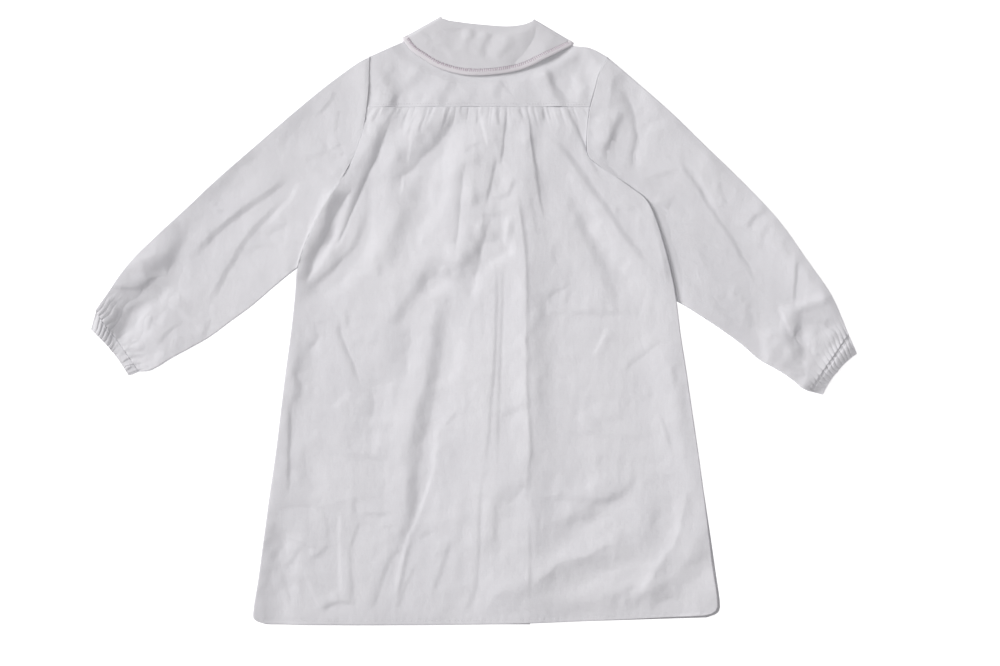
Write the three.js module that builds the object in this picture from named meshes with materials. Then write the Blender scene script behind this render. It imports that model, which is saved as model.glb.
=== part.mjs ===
import * as THREE from "three";

// School smock in white cotton, laid flat with its back upwards and its long sleeves out to the sides.
// Millimetres. +Z is up from the surface that it lies on, +Y runs towards the neck.
// The back yoke carries a gathered back panel. Two fronts lie beneath and lap over each other down
// the middle, over a row of buttons. The collar folds over both shoulders, so that its back part
// lies on top and its two front parts lie underneath.

const WALL = 1.4; // the cloth with its turned seams
const GAP = 0.3; // between two pieces at a seam
const LAYER = WALL + GAP; // one layer of the stack
const BUTTON = { across: 12, thick: 2.2, hole: 0.9, holeRing: 2, sides: 16, holeSides: 5 };
const BUTTON_Y = [186, 93, 0, -93, -186];
const BUTTONS_TOP = 204; // the cloth is level again above the uppermost button

const { smoothstep, lerp, degToRad } = THREE.MathUtils;

// Rows of numbers under named columns.
function table(names, rows) {
  const keys = names.split(" ");
  return rows.map((row) => Object.fromEntries(keys.map((key, i) => [key, row[i]])));
}

// The two outlines of the body, from the tip of each shoulder down the armhole and the side to the
// hem, and the height of the same row at the middle.
const BODY = table("leftX leftY rightX rightY middleY", [
  [-112, 286, 145, 285, 262],
  [-112.5, 268, 136, 268, 252],
  [-113, 250, 131, 250, 242],
  [-115, 232, 126, 232, 232],
  [-116.5, 220, 124, 220, 219],
  [-119, 206, 122.5, 206, 205],
  [-124, 192, 122, 191, 191],
  [-129, 178, 124.5, 178, 178],
  [-137, 163, 137, 167, 164],
  [-146, 148, 154, 156, 150],
  [-158, 131, 171, 144, 135],
  [-169, 112, 186, 132, 118],
  [-178, 92, 196, 113, 98],
  [-185, 75, 206, 82, 76],
  [-190, 58, 214, 50, 52],
  [-193, 26, 219, 22, 24],
  [-197, -12, 223.5, -14, -12],
  [-202.5, -54, 229.5, -52, -54],
  [-208, -98, 236, -97, -98],
  [-213.5, -143, 242.5, -142, -143],
  [-220, -188, 248.5, -186, -188],
  [-226, -232, 254, -229, -232],
  [-232, -276, 259.5, -272, -275],
  [-237.5, -311, 264, -303.5, -309],
  [-236, -322, 260.5, -313.5, -322],
  [-224, -327, 249.5, -317.5, -327],
]);
const SEAM_ROW = 3; // the yoke ends and the gathered panel begins
const COLLAR_ROW = 4; // below this row the fronts are clear of the collar
const LEFT_UNDERARM = 14;
const RIGHT_UNDERARM = 15;
const FRONT_ROWS = [6, 8, 10, 12, 14, 15, 17, 19, 21, 23, 24, 25];

// The strip down the middle where the left front lies over the right one.
const STRIP = table("y left right", [
  [243, 18, 46],
  [142, 21, 50],
  [66, 21, 56],
  [12, 22, 59],
  [-139, 24, 62],
  [-327, 26, 61],
]);
const STRIP_TOP = 243;
const STRIP_INSET = 4; // the slope beside the strip starts this far outside it
const STRIP_RAMP = 24; // the slope beside the strip
const STRIP_FADE = 8; // half of the slope at its upper end
const BACK_SPREAD = 8; // the back bridges this much more than the fronts do
const BACK_STRIP_TOP = STRIP_TOP + 11;

// The right front is a little longer and wider at the bottom than the back that lies on it.
const FRONT_SHOWS = { by: 2.6, from: -120, to: -290, lastRows: 23 };

// The round area at the neck where the fronts lie over the collar's front parts.
const NECK = { x: 15, y: 296, flat: 125, ramp: 40 };

// The collar is a band with one section for each row: neck is where it folds, edge is its rim.
const COLLAR_BACK = table("neckX neckY edgeX edgeY", [
  [-35, 326.5, -76, 303.5],
  [-31, 325.3, -67, 292],
  [-26, 323.6, -54, 283],
  [-18, 322.5, -41, 275],
  [-9, 321.2, -24, 269],
  [1, 320, -8, 266],
  [12, 319, 10, 265.5],
  [24, 318, 27, 267],
  [35, 317.5, 43, 269.5],
  [45, 318, 58, 274],
  [54, 319.5, 73, 281],
  [60, 321.6, 89, 289],
  [64.5, 323.7, 107, 298.3],
]);
const COLLAR_FRONT_LEFT = table("neckX neckY edgeX edgeY", [
  [-35, 326.5, -76, 303.5],
  [-36, 312, -78, 288],
  [-34, 300, -78, 270],
  [-28, 288, -70, 252],
  [-19, 277, -54, 233],
  [-7, 267, -32, 219],
  [6, 260, -10, 213],
  [15, 256, 9, 217],
  [21, 254, 20, 226],
  [25, 253, 25, 238],
]);
const COLLAR_FRONT_RIGHT = table("neckX neckY edgeX edgeY", [
  [64.5, 323.7, 107, 298.3],
  [64, 310, 108, 284],
  [62, 299, 108, 266],
  [57, 288, 101, 249],
  [51, 278, 88, 232],
  [44, 269, 71, 219],
  [38, 262, 53, 213],
  [34, 257, 41, 218],
  [32, 254, 35, 227],
  [31, 253, 31.5, 238],
]);
const COLLAR_LEVEL = 2 * LAYER - GAP / 2; // halfway up the stack that the collar folds round
const STAND = 9; // the inner band, from the fold down to the neck seam
const EDGING = 6.5; // the band sewn along the collar's rim
const EDGING_PROFILE = [
  [EDGING, 0],
  [EDGING / 2, 0.5],
  [0.8, 0.25],
  [0, -0.5],
]; // distance from the rim and height over the collar, from the joint out to the rim
const COLLAR_RISE = 1.4; // how far the back of the collar arches
const FALL_SHARES = [1, 0.66, 0.33, 0]; // points between the edging and the fold
const ROLL_ANGLES = [45, 90, 135]; // points round the fold
const TURN_STEPS = 5;

const RIDGE_END = 0.06; // keeps a little height at both ends of a ridge

// Ridges of the body: the path of the crest, then its width and height.
const BODY_FOLDS = table("path width height", [
  [[[-26, 70], [-34, -40], [-48, -171], [-70, -241], [-82, -305]], 30, 4.5],
  [[[-60, 60], [-70, -40], [-92, -150], [-104, -260]], 52, 3],
  [[[77, 207], [126, 131], [169, 45], [198, -6]], 40, 5.5],
  [[[104, 238], [114, 212], [128, 182]], 16, 4],
  [[[118, 176], [146, 164], [172, 150]], 20, 3.5],
  [[[-96, 228], [-108, 198], [-122, 168], [-138, 132], [-156, 92]], 15, 4.5],
  [[[-118, 128], [-142, 88], [-168, 50]], 22, 5],
  [[[-128, 176], [-150, 132], [-170, 92]], 16, 4],
  [[[61, -295], [120, -250], [185, -193]], 34, 4.5],
  [[[185, -295], [226, -200], [234, -139]], 30, 4],
  [[[70, -168], [130, -158], [190, -140]], 26, 3],
  [[[92, 60], [100, -10], [96, -90]], 44, 2.5],
  [[[-150, 10], [-140, -40], [-124, -90]], 26, 3],
  [[[-146, -180], [-146, -250], [-146, -312]], 22, 3],
  [[[-205, -222], [-180, -240], [-150, -262]], 20, 2.5],
  [[[-8, 190], [-16, 160], [-10, 120], [-4, 84]], 20, 3.5],
  [[[34, 200], [30, 168], [16, 134], [4, 100]], 18, 3.5],
  [[[72, 196], [78, 160], [86, 116]], 20, 3],
  [[[-60, 196], [-66, 150], [-70, 100]], 24, 3],
  [[[-14, 60], [-10, 24], [-20, -20]], 22, 3],
  [[[150, -20], [172, -70], [196, -120]], 34, 2.5],
  [[[-100, 20], [-60, 14], [-10, 18]], 20, 2],
]);

const PANEL_COLUMNS = table("lastRow columns", [
  [5, 84],
  [8, 60],
  [14, 44],
  [25, 34],
]);
const PANEL_EDGE = 0.05; // the share of the width over which the panel's sides go down
const HEM_ROWS = { from: -1.5, to: 2 }; // the rows above the hem over which it goes down

// The gathers below the yoke: where each starts, how high and long it is, and its drift over 100 mm.
const GATHERS = table("x height length drift width", [
  [-107, 2.2, 60, -28, 9],
  [-97, 3.2, 84, -24, 10],
  [-85, 3.6, 110, -22, 11],
  [-77, 2.4, 52, -18, 8],
  [-69, 3.2, 96, -16, 9],
  [-62, 2.2, 56, -12, 8],
  [-53, 3.4, 104, -12, 10],
  [-43, 2.6, 66, -10, 10],
  [-32, 3, 88, -8, 11],
  [-20, 3.4, 118, -6, 11],
  [-8, 2.4, 64, -4, 10],
  [2, 3, 92, -3, 10],
  [12, 2.2, 58, 0, 10],
  [22, 3.6, 122, 0, 10],
  [31, 2.6, 70, 2, 9],
  [41, 3.2, 96, 4, 10],
  [52, 2.6, 62, 6, 10],
  [60, 3.4, 108, 8, 8],
  [68, 2.8, 60, 10, 8],
  [78, 3, 90, 14, 10],
  [89, 3.4, 82, 18, 11],
  [101, 3, 64, 20, 11],
  [113, 2.4, 44, 22, 10],
]);

const GATHER_WIDENS = 110; // a gather is twice as wide this far below the seam
const GATHER_START = { height: 0.35, length: 12 }; // its share of the height at the seam
const GATHER_FULL = 0.3; // the share of its length where it starts to fade

// Sections of the sleeves, from the armhole to the cuff: the two edges of the flattened tube.
const SLEEVE_LEFT = table("topX topY underX underY loft", [
  [-112, 286, -190, 58, 0.6],
  [-130, 276, -199, 51, 1.2],
  [-165, 250, -217, 36, 2],
  [-204.4, 217.2, -239.2, 17, 2.4],
  [-242.3, 184.2, -263.4, -0.9, 2.4],
  [-278, 153, -285.3, -17, 2.4],
  [-312, 121, -305.6, -28.7, 2.6],
  [-346, 89, -325.6, -39.7, 2.8],
  [-372, 62, -340.5, -49, 3],
  [-390, 37, -350.6, -53.4, 2.8],
  [-407, 12, -361, -54, 2],
]);
const SLEEVE_RIGHT = table("topX topY underX underY loft", [
  [145, 285, 219, 22, 0.6],
  [160.7, 271.7, 229.7, 16, 1.2],
  [190.6, 245.7, 250.9, 2.3, 2],
  [221, 218.3, 270.7, -11, 2.4],
  [252, 188, 290.3, -25.6, 2.4],
  [281, 160, 307.6, -40.6, 2.4],
  [308.8, 131.7, 324, -50, 2.6],
  [334, 103, 337, -58, 2.8],
  [359.4, 66.6, 347, -65.5, 3],
  [385.4, 28.8, 354, -71.6, 2.8],
  [404.7, -13.2, 361, -75.1, 2],
]);
const SLEEVE_RINGS = 17;
const ARMHOLE_REACH = 0.4; // the share of the sleeve over which the armhole's curve fades
const SLEEVE_ROUND = 0.6; // folds fade below this share of the full roundness
const EDGE_ANGLES = [-50, 0, 50]; // round the folded edges of a tube

const SLEEVE_FOLDS = table("path width height", [
  [[[-116, 280], [-118, 240], [-120, 206]], 10, 2],
  [[[-212, 128], [-245, 103], [-270, 80], [-292, 55], [-300, 22]], 26, 4.5],
  [[[-240, 134], [-276, 108], [-306, 84]], 24, 3.5],
  [[[-184, 130], [-214, 96], [-238, 64], [-262, 26]], 26, 4],
  [[[-348, 80], [-320, 84], [-324, 60], [-362, 38]], 20, 4],
  [[[-330, 40], [-334, 18], [-344, -18]], 18, 3],
  [[[-326, 22], [-304, 8], [-286, -4]], 18, 3],
  [[[-160, 190], [-180, 160], [-196, 130]], 26, 2.5],
  [[[-388, 40], [-394, 14], [-384, -16]], 14, 3],
  [[[152, 262], [158, 226], [162, 196]], 12, 3],
  [[[190, 166], [228, 176], [252, 148], [286, 90], [318, 36]], 24, 4.5],
  [[[176, 214], [206, 226]], 16, 2.5],
  [[[214, 132], [240, 112], [268, 74]], 26, 3.5],
  [[[290, 100], [302, 118], [318, 120]], 16, 3],
  [[[342, 84], [340, 50], [338, 18]], 14, 3],
  [[[344, 22], [366, 28], [388, 26]], 16, 4],
  [[[356, -2], [360, -28], [364, -50]], 14, 3],
  [[[296, -22], [330, -46], [352, -54]], 18, 3],
  [[[374, 8], [386, -4], [398, -14]], 14, 3],
]);

// Elastic cuffs: short gathered tubes from the ends of the sleeves to these last sections.
const CUFF_END_LEFT = { topX: -412.6, topY: -7.8, underX: -372, underY: -58.5 };
const CUFF_END_RIGHT = { topX: 414.4, topY: -34.2, underX: 377.2, underY: -79 };
const CUFF_BOW = { left: 2.5, right: 4 }; // how far the elastic draws in the middle of each end
const CUFF_LOFTS = [1.2, 0.5, 0.8, 1.2];
const CUFF_WAVES = 9;
const CUFF_ROUND = 0.08; // the share of the width over which each side goes down
const CUFF_WAVE_HEIGHT = 1.1;
const CUFF_UPPER_COLUMNS = 36;
const CUFF_UNDER_COLUMNS = 5;

const CLOTH = { color: 0xeceef0, roughness: 0.92, metalness: 0 };
const TRIM = { color: 0xf0eef1, roughness: 0.85, metalness: 0 };
const PEARL = { color: 0xf2f0ec, roughness: 0.3, metalness: 0 };

const smock = new THREE.Group();

// A closed wall between two faces. rows[j][i] holds one point on each face. The rows may have
// different numbers of points. A round wall closes on itself across each row.
function wallGeometry(rows, round) {
  const points = [];
  const faces = [];
  const indexed = rows.map((row) =>
    row.map(([outer, inner]) => {
      points.push(outer, inner);
      return points.length - 2;
    }),
  );
  const steps = (row) => row.length - (round ? 0 : 1);
  const quad = (a, b, c, d) => faces.push(a, b, c, a, c, d);

  for (let j = 0; j + 1 < indexed.length; j++) {
    const [near, far] = [indexed[j], indexed[j + 1]];
    let i = 0;
    let k = 0;
    while (i < steps(near) || k < steps(far)) {
      const a = near[i % near.length];
      const b = far[k % far.length];
      const onNear =
        k === steps(far) || (i < steps(near) && (i + 1) / steps(near) <= (k + 1) / steps(far));
      const next = onNear ? near[(i + 1) % near.length] : far[(k + 1) % far.length];
      faces.push(a, b, next, a + 1, next + 1, b + 1);
      if (onNear) i++;
      else k++;
    }
    if (!round) {
      const [a, b] = [near[0], far[0]];
      const [c, d] = [near.at(-1), far.at(-1)];
      quad(b, a, a + 1, b + 1);
      quad(c, d, d + 1, c + 1);
    }
  }
  const [first, last] = [indexed[0], indexed.at(-1)];
  for (let i = 0; i < steps(first); i++) {
    const [a, b] = [first[i], first[(i + 1) % first.length]];
    quad(a, b, b + 1, a + 1);
  }
  for (let i = 0; i < steps(last); i++) {
    const [a, b] = [last[i], last[(i + 1) % last.length]];
    quad(b, a, a + 1, b + 1);
  }

  let volume = 0;
  for (let f = 0; f < faces.length; f += 3) {
    const [a, b, c] = [points[faces[f]], points[faces[f + 1]], points[faces[f + 2]]];
    volume += a.dot(b.clone().cross(c));
  }
  const geometry = new THREE.BufferGeometry().setFromPoints(points);
  geometry.setIndex(volume < 0 ? faces.reverse() : faces);
  geometry.computeVertexNormals();
  return geometry;
}

function addPiece(name, geometry, look) {
  const mesh = new THREE.Mesh(geometry, new THREE.MeshStandardMaterial(look));
  mesh.name = name;
  smock.add(mesh);
}

// A pair of points of a lying wall whose under face is at height z.
const lying = (x, y, z) => [new THREE.Vector3(x, y, z + WALL), new THREE.Vector3(x, y, z)];

function stripEdge(side, y) {
  const below = STRIP.findIndex((row) => row.y <= y);
  if (below <= 0) return STRIP.at(below)[side];
  const [upper, lower] = [STRIP[below - 1], STRIP[below]];
  return lerp(upper[side], lower[side], (upper.y - y) / (upper.y - lower.y));
}

// How far a point lies outside the strip, and how far the neck area and the strip lift it: 0 to 1.
const outsideStrip = (x, y) => Math.max(stripEdge("left", y) - x, x - stripEdge("right", y));
function neckLift(x, y, spread) {
  const distance = Math.hypot(x - NECK.x, y - NECK.y) - NECK.flat - spread;
  return 1 - smoothstep(distance, 0, NECK.ramp);
}
function stripLift(x, y, spread, top) {
  const start = STRIP_INSET + spread;
  const across = 1 - smoothstep(outsideStrip(x, y), start, start + STRIP_RAMP);
  return across * (1 - smoothstep(y, top - STRIP_FADE, top + STRIP_FADE));
}

// Under faces of the layers.
function frontFloor(x, y, spread = 0) {
  const overButtons = (BUTTON.thick + GAP) * stripLift(x, y, spread, BUTTONS_TOP);
  return Math.max(LAYER * neckLift(x, y, spread), overButtons);
}
function leftFrontFloor(x, y) {
  const inside = stripEdge("left", y) - STRIP_INSET - x;
  return frontFloor(x, y) + LAYER * (1 - smoothstep(inside, 0, STRIP_RAMP));
}
function backFloor(x, y) {
  const overLap = LAYER * stripLift(x, y, BACK_SPREAD, BACK_STRIP_TOP);
  return frontFloor(x, y, BACK_SPREAD) + overLap + LAYER;
}

// Height of a rounded ridge at a point: full on its path, fading across it and towards its ends.
function ridge(x, y, { path, width, height }) {
  let best = Infinity;
  let place = 0;
  for (let i = 0; i + 1 < path.length; i++) {
    const [[ax, ay], [bx, by]] = [path[i], path[i + 1]];
    const length2 = (bx - ax) ** 2 + (by - ay) ** 2;
    const t = THREE.MathUtils.clamp(((x - ax) * (bx - ax) + (y - ay) * (by - ay)) / length2, 0, 1);
    const distance = Math.hypot(x - lerp(ax, bx, t), y - lerp(ay, by, t));
    if (distance < best) {
      best = distance;
      place = (i + t) / (path.length - 1);
    }
  }
  if (best >= width / 2) return 0;
  const across = Math.cos((Math.PI * best) / width) ** 2;
  const along = Math.sqrt(Math.sin(Math.PI * lerp(RIDGE_END, 1 - RIDGE_END, place)));
  return height * across * along;
}
function folds(list, x, y) {
  return Math.max(0, ...list.map((fold) => ridge(x, y, fold)));
}

function gatherHeight(x, y) {
  const below = BODY[SEAM_ROW].middleY - y;
  let height = 0;
  for (const gather of GATHERS) {
    const spread = gather.width * (1 + below / GATHER_WIDENS);
    const offset = Math.abs(x - gather.x - (gather.drift * below) / 100);
    if (offset >= spread / 2 || below > gather.length) continue;
    const start = lerp(GATHER_START.height, 1, smoothstep(below, 0, GATHER_START.length));
    const end = 1 - smoothstep(below, GATHER_FULL * gather.length, gather.length);
    height += gather.height * Math.cos((Math.PI * offset) / spread) ** 2 * start * end;
  }
  return height;
}

// A point of the body's outline rows, at share u of the way from the left edge to the right one.
function bodyPoint(row, u) {
  const sag = row.middleY - (row.leftY + row.rightY) / 2;
  return [lerp(row.leftX, row.rightX, u), lerp(row.leftY, row.rightY, u) + sag * 4 * u * (1 - u)];
}
function betweenRows(a, b, t) {
  return Object.fromEntries(Object.keys(a).map((key) => [key, lerp(a[key], b[key], t)]));
}

// A point of a collar section, reach away from the fold and out from the middle of the stack. The
// turn runs from 0 on the front, below, to 180 degrees on the back, above.
function collarPoint(section, reach, out) {
  const { neckX, neckY, edgeX, edgeY, turn } = section;
  const length = Math.hypot(edgeX - neckX, edgeY - neckY);
  const [dx, dy] = [(edgeX - neckX) / length, (edgeY - neckY) / length];
  const side = Math.sign(dx) * Math.sin(turn) * out;
  const x = neckX + dx * reach - side * dy;
  const y = neckY + dy * reach + side * dx;
  return new THREE.Vector3(x, y, COLLAR_LEVEL - out * Math.cos(turn));
}
const sectionLength = ({ neckX, neckY, edgeX, edgeY }) => Math.hypot(edgeX - neckX, edgeY - neckY);

function turned(sections, turn) {
  return sections.map((section) => ({ ...section, turn: degToRad(turn) }));
}
function foldedOver(section, from, to) {
  const turns = [];
  for (let i = 1; i < TURN_STEPS; i++) turns.push(lerp(from, to, i / TURN_STEPS));
  return turns.map((turn) => ({ ...section, turn: degToRad(turn) }));
}
const COLLAR = [
  ...turned([...COLLAR_FRONT_LEFT].reverse(), 0),
  ...foldedOver(COLLAR_BACK[0], 0, 180),
  ...turned(COLLAR_BACK, 180),
  ...foldedOver(COLLAR_BACK.at(-1), 180, 0),
  ...turned(COLLAR_FRONT_RIGHT, 0),
];

// How much of the back's arch a section has.
function archShare(section, index, reach) {
  if (section.turn < Math.PI) return 0;
  const first = COLLAR.findIndex((other) => other.turn === Math.PI);
  const share = (index - first) / (COLLAR_BACK.length - 1);
  return Math.sin(Math.PI * share) * Math.sin((Math.PI * reach) / sectionLength(section));
}

function addCollar() {
  const outer = 2 * LAYER - GAP / 2;
  const inner = outer - WALL;
  const foldCentre = LAYER;
  const rows = COLLAR.map((section, index) => {
    const fall = sectionLength(section) - EDGING - GAP;
    const pairs = [];
    for (const share of FALL_SHARES) {
      const rise = COLLAR_RISE * archShare(section, index, share * fall);
      pairs.push([
        collarPoint(section, share * fall, outer + rise),
        collarPoint(section, share * fall, inner + rise),
      ]);
    }
    for (const angle of ROLL_ANGLES) {
      const [c, s] = [Math.cos(degToRad(angle)), Math.sin(degToRad(angle))];
      const roll = (radius) => collarPoint(section, -radius * s, foldCentre + radius * c);
      pairs.push([roll(WALL + GAP / 2), roll(GAP / 2)]);
    }
    const stand = Math.min(STAND, fall + EDGING - GAP);
    for (const reach of [0, stand]) {
      pairs.push([
        collarPoint(section, reach, GAP / 2),
        collarPoint(section, reach, GAP / 2 + WALL),
      ]);
    }
    return pairs;
  });
  addPiece("collar", wallGeometry(rows, false), TRIM);
}

function addCollarEdging() {
  const under = LAYER + GAP / 2;
  const rows = COLLAR.map((section, index) => {
    const rim = sectionLength(section);
    const onBack = (1 - Math.cos(section.turn)) / 2;
    return EDGING_PROFILE.map(([fromRim, rise]) => {
      const reach = rim - fromRim;
      const lift = COLLAR_RISE * archShare(section, index, reach);
      const crown = lift + (rise > 0 ? rise * onBack : rise);
      return [
        collarPoint(section, reach, under + WALL + crown),
        collarPoint(section, reach, under + lift),
      ];
    });
  });
  addPiece("collar_edging", wallGeometry(rows, false), TRIM);
}

// The neck seam and the shoulders of the body, on the collar's own sections.
const neckSeam = (sections) =>
  turned(sections, 90).map((section) => {
    const { x, y } = collarPoint(section, STAND + GAP, 0);
    return [x, y];
  });
const LEFT_SHOULDER = [[-112, 286], [-94, 294], [-73, 304]];
const RIGHT_SHOULDER = [[104, 299], [126, 295], [145, 285]];
const RIGHT_SHOULDER_INWARDS = [...RIGHT_SHOULDER].reverse();

function addYoke() {
  const top = [...LEFT_SHOULDER, ...neckSeam(COLLAR_BACK), ...RIGHT_SHOULDER];
  const seam = BODY[SEAM_ROW];
  const shares = top.map((point, i) => i / (top.length - 1));
  const startY = BODY[0].leftY;
  const rows = [];
  for (let j = 0; j <= SEAM_ROW; j += 0.5) {
    const upper = BODY[Math.floor(j)];
    const row = betweenRows(upper, BODY[Math.min(Math.floor(j) + 1, SEAM_ROW)], j % 1);
    const t = (startY - row.leftY) / (startY - seam.leftY);
    rows.push(
      top.map(([topX, topY], i) => {
        const u = shares[i];
        const [seamX, seamY] = bodyPoint(seam, u);
        const left = row.leftX - lerp(BODY[0].leftX, seam.leftX, t);
        const right = row.rightX - lerp(BODY[0].rightX, seam.rightX, t);
        const x = lerp(topX, seamX, t) + (1 - u) * left + u * right;
        const y = lerp(topY, seamY, t) + (t === 1 ? GAP / 2 : 0);
        return lying(x, y, backFloor(x, y));
      }),
    );
  }
  addPiece("back_yoke", wallGeometry(rows, false), CLOTH);
}

function addBackPanel() {
  const columnsAt = (j) => PANEL_COLUMNS.find(({ lastRow }) => j <= lastRow).columns;
  const rows = [];
  for (let j = SEAM_ROW; j < BODY.length; j += j < SEAM_ROW + 1 ? 0.5 : 1) {
    const upper = BODY[Math.floor(j)];
    const row = betweenRows(upper, BODY[Math.min(Math.floor(j) + 1, BODY.length - 1)], j % 1);
    const columns = columnsAt(j);
    const points = [];
    for (let i = 0; i <= columns; i++) {
      const u = i / columns;
      const [x, plainY] = bodyPoint(row, u);
      const y = plainY - (j === SEAM_ROW ? GAP / 2 : 0);
      const edge = smoothstep(Math.min(u, 1 - u), 0, PANEL_EDGE);
      const hem = smoothstep(BODY.length - 1 - j, HEM_ROWS.from, HEM_ROWS.to);
      const folded = folds(BODY_FOLDS, x, y) * smoothstep(j, SEAM_ROW, SEAM_ROW + 2);
      const loft = Math.max(gatherHeight(x, y), folded);
      points.push(lying(x, y, backFloor(x, y) + loft * edge * hem));
    }
    rows.push(points);
  }
  addPiece("back_panel", wallGeometry(rows, false), CLOTH);
}

// A front: rows across from its side to its free edge. The top row runs along the shoulder and the
// neck seam, and the rows below it line up with the slope beside the strip.
function addFront(name, side, sections, shoulder, edgeOf, floor) {
  const outline = BODY.map((row) => [row[side + "X"], row[side + "Y"]]);
  const lap = side === "left" ? "right" : "left";
  const sign = side === "left" ? 1 : -1;
  const top = [...shoulder, ...neckSeam(sections), [stripEdge(lap, STRIP_TOP), STRIP_TOP]];
  const collarRow = edgeOf(COLLAR_ROW, outline);
  const collarY = BODY[COLLAR_ROW].middleY;
  const collarLap = [stripEdge(lap, collarY), collarY];
  const rows = [0, 2, COLLAR_ROW].map((j) => {
    const t = (outline[0][1] - outline[j][1]) / (outline[0][1] - collarRow[1]);
    return top.map(([topX, topY], i) => {
      const u = i / (top.length - 1);
      const bottomX = lerp(collarRow[0], collarLap[0], u);
      const bottomY = lerp(collarRow[1], collarLap[1], u);
      const shift = outline[j][0] - lerp(outline[0][0], collarRow[0], t);
      const x = lerp(topX, bottomX, t) + (1 - u) * shift;
      const y = lerp(topY, bottomY, t);
      return lying(x, y, floor(x, y));
    });
  });
  for (const j of FRONT_ROWS) {
    const [startX, startY] = edgeOf(j, outline);
    const endY = BODY[j].middleY;
    const near = stripEdge(side, endY) - sign * STRIP_INSET;
    const far = near - sign * STRIP_RAMP;
    const xs = [0, 0.33, 0.66].map((share) => lerp(startX, far, share));
    xs.push(far, (far + near) / 2, near, stripEdge(lap, endY));
    rows.push(
      xs.map((x) => {
        const y = lerp(startY, endY, (x - startX) / (xs.at(-1) - startX));
        return lying(x, y, floor(x, y));
      }),
    );
  }
  addPiece(name, wallGeometry(rows, false), CLOTH);
}

const leftEdge = (j, outline) => outline[j];
function rightEdge(j, outline) {
  const [x, y] = outline[j];
  const spread = FRONT_SHOWS.by * (1 - smoothstep(y, FRONT_SHOWS.to, FRONT_SHOWS.from));
  return [x + spread, y - (j >= FRONT_SHOWS.lastRows ? spread : 0)];
}

// A flattened tube: an under layer, an upper layer and two rounded edges, section by section.
function addTube(name, sections, heights, look) {
  const rows = sections.map(({ line, underShares, upperShares, loft }) => {
    const [start, end] = [line(0), line(1)];
    const length = Math.hypot(end[0] - start[0], end[1] - start[1]);
    const along = [(end[0] - start[0]) / length, (end[1] - start[1]) / length];
    const low = ([x, y]) => frontFloor(x, y);
    const edge = ([x, y], direction, angles) =>
      angles.map((angle) => {
        const [c, s] = [Math.cos(degToRad(angle)), Math.sin(degToRad(angle))];
        const centre = low([x, y]) + WALL + GAP / 2;
        const point = (radius) =>
          new THREE.Vector3(
            x + direction * along[0] * radius * c,
            y + direction * along[1] * radius * c,
            centre + radius * s,
          );
        return [point(WALL + GAP / 2), point(GAP / 2)];
      });
    const under = underShares.map((share) => {
      const [x, y] = line(share);
      return lying(x, y, low([x, y])).reverse();
    });
    const upper = [...upperShares].reverse().map((share) => {
      const [x, y] = line(share);
      return lying(x, y, low([x, y]) + LAYER + heights(x, y, share, loft));
    });
    const farEdge = edge(end, 1, EDGE_ANGLES);
    const nearEdge = edge(start, -1, [...EDGE_ANGLES].reverse());
    return [...under, ...farEdge, ...upper, ...nearEdge];
  });
  addPiece(name, wallGeometry(rows, true), look);
}

// A section's plain line between its two edges, drawn in by the radius of the folded edge.
function edgeLine({ topX, topY, underX, underY }) {
  const length = Math.hypot(underX - topX, underY - topY);
  const inset = (WALL + GAP / 2) / length;
  return (share) => {
    const t = lerp(inset, 1 - inset, share);
    return [lerp(topX, underX, t), lerp(topY, underY, t)];
  };
}

// A path moved sideways: to the left of its own direction if distance is below 0.
function movedAside(path, distance) {
  return path.map(([x, y], i) => {
    const [ax, ay] = path[Math.max(i - 1, 0)];
    const [bx, by] = path[Math.min(i + 1, path.length - 1)];
    const length = Math.hypot(bx - ax, by - ay);
    return [x - (distance * (by - ay)) / length, y + (distance * (bx - ax)) / length];
  });
}

function sectionAt(sections, t) {
  const place = t * (sections.length - 1);
  const index = Math.min(Math.floor(place), sections.length - 2);
  return betweenRows(sections[index], sections[index + 1], place - index);
}

function addSleeve(name, side, sleeve, underarmRow) {
  const seam = BODY.slice(0, underarmRow + 1).map((row) => [row[side + "X"], row[side + "Y"]]);
  const armhole = movedAside(seam, (side === "left" ? -1 : 1) * GAP);
  const [tip, underarm] = [armhole[0], armhole.at(-1)];
  const chord = [underarm[0] - tip[0], underarm[1] - tip[1]];
  const chord2 = chord[0] ** 2 + chord[1] ** 2;
  const shareOf = ([x, y]) => ((x - tip[0]) * chord[0] + (y - tip[1]) * chord[1]) / chord2;
  const straight = (share) => [tip[0] + chord[0] * share, tip[1] + chord[1] * share];
  const upperShares = armhole.map(shareOf);
  const underShares = upperShares.filter((share, i) => i % 2 === 0 || i === underarmRow);
  const bow = new Map(
    armhole.map((point, i) => {
      const [x, y] = straight(upperShares[i]);
      return [upperShares[i], [point[0] - x, point[1] - y]];
    }),
  );
  const sections = [];
  for (let ring = 0; ring < SLEEVE_RINGS; ring++) {
    const t = ring / (SLEEVE_RINGS - 1);
    const section = sectionAt(sleeve, t);
    const fade = (1 - Math.min(t / ARMHOLE_REACH, 1)) ** 2;
    const plain = ring === 0 ? straight : edgeLine(section);
    const line = (share) => {
      const [x, y] = plain(share);
      const [bowX, bowY] = bow.get(share) ?? [0, 0];
      return [x + fade * bowX, y + fade * bowY];
    };
    sections.push({ line, underShares, upperShares, loft: section.loft });
  }
  const heights = (x, y, share, loft) => {
    const inside = Math.sqrt(Math.max(0, 4 * share * (1 - share)));
    return loft * inside + folds(SLEEVE_FOLDS, x, y) * smoothstep(inside, 0, SLEEVE_ROUND);
  };
  addTube(name, sections, heights, CLOTH);
}

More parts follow.
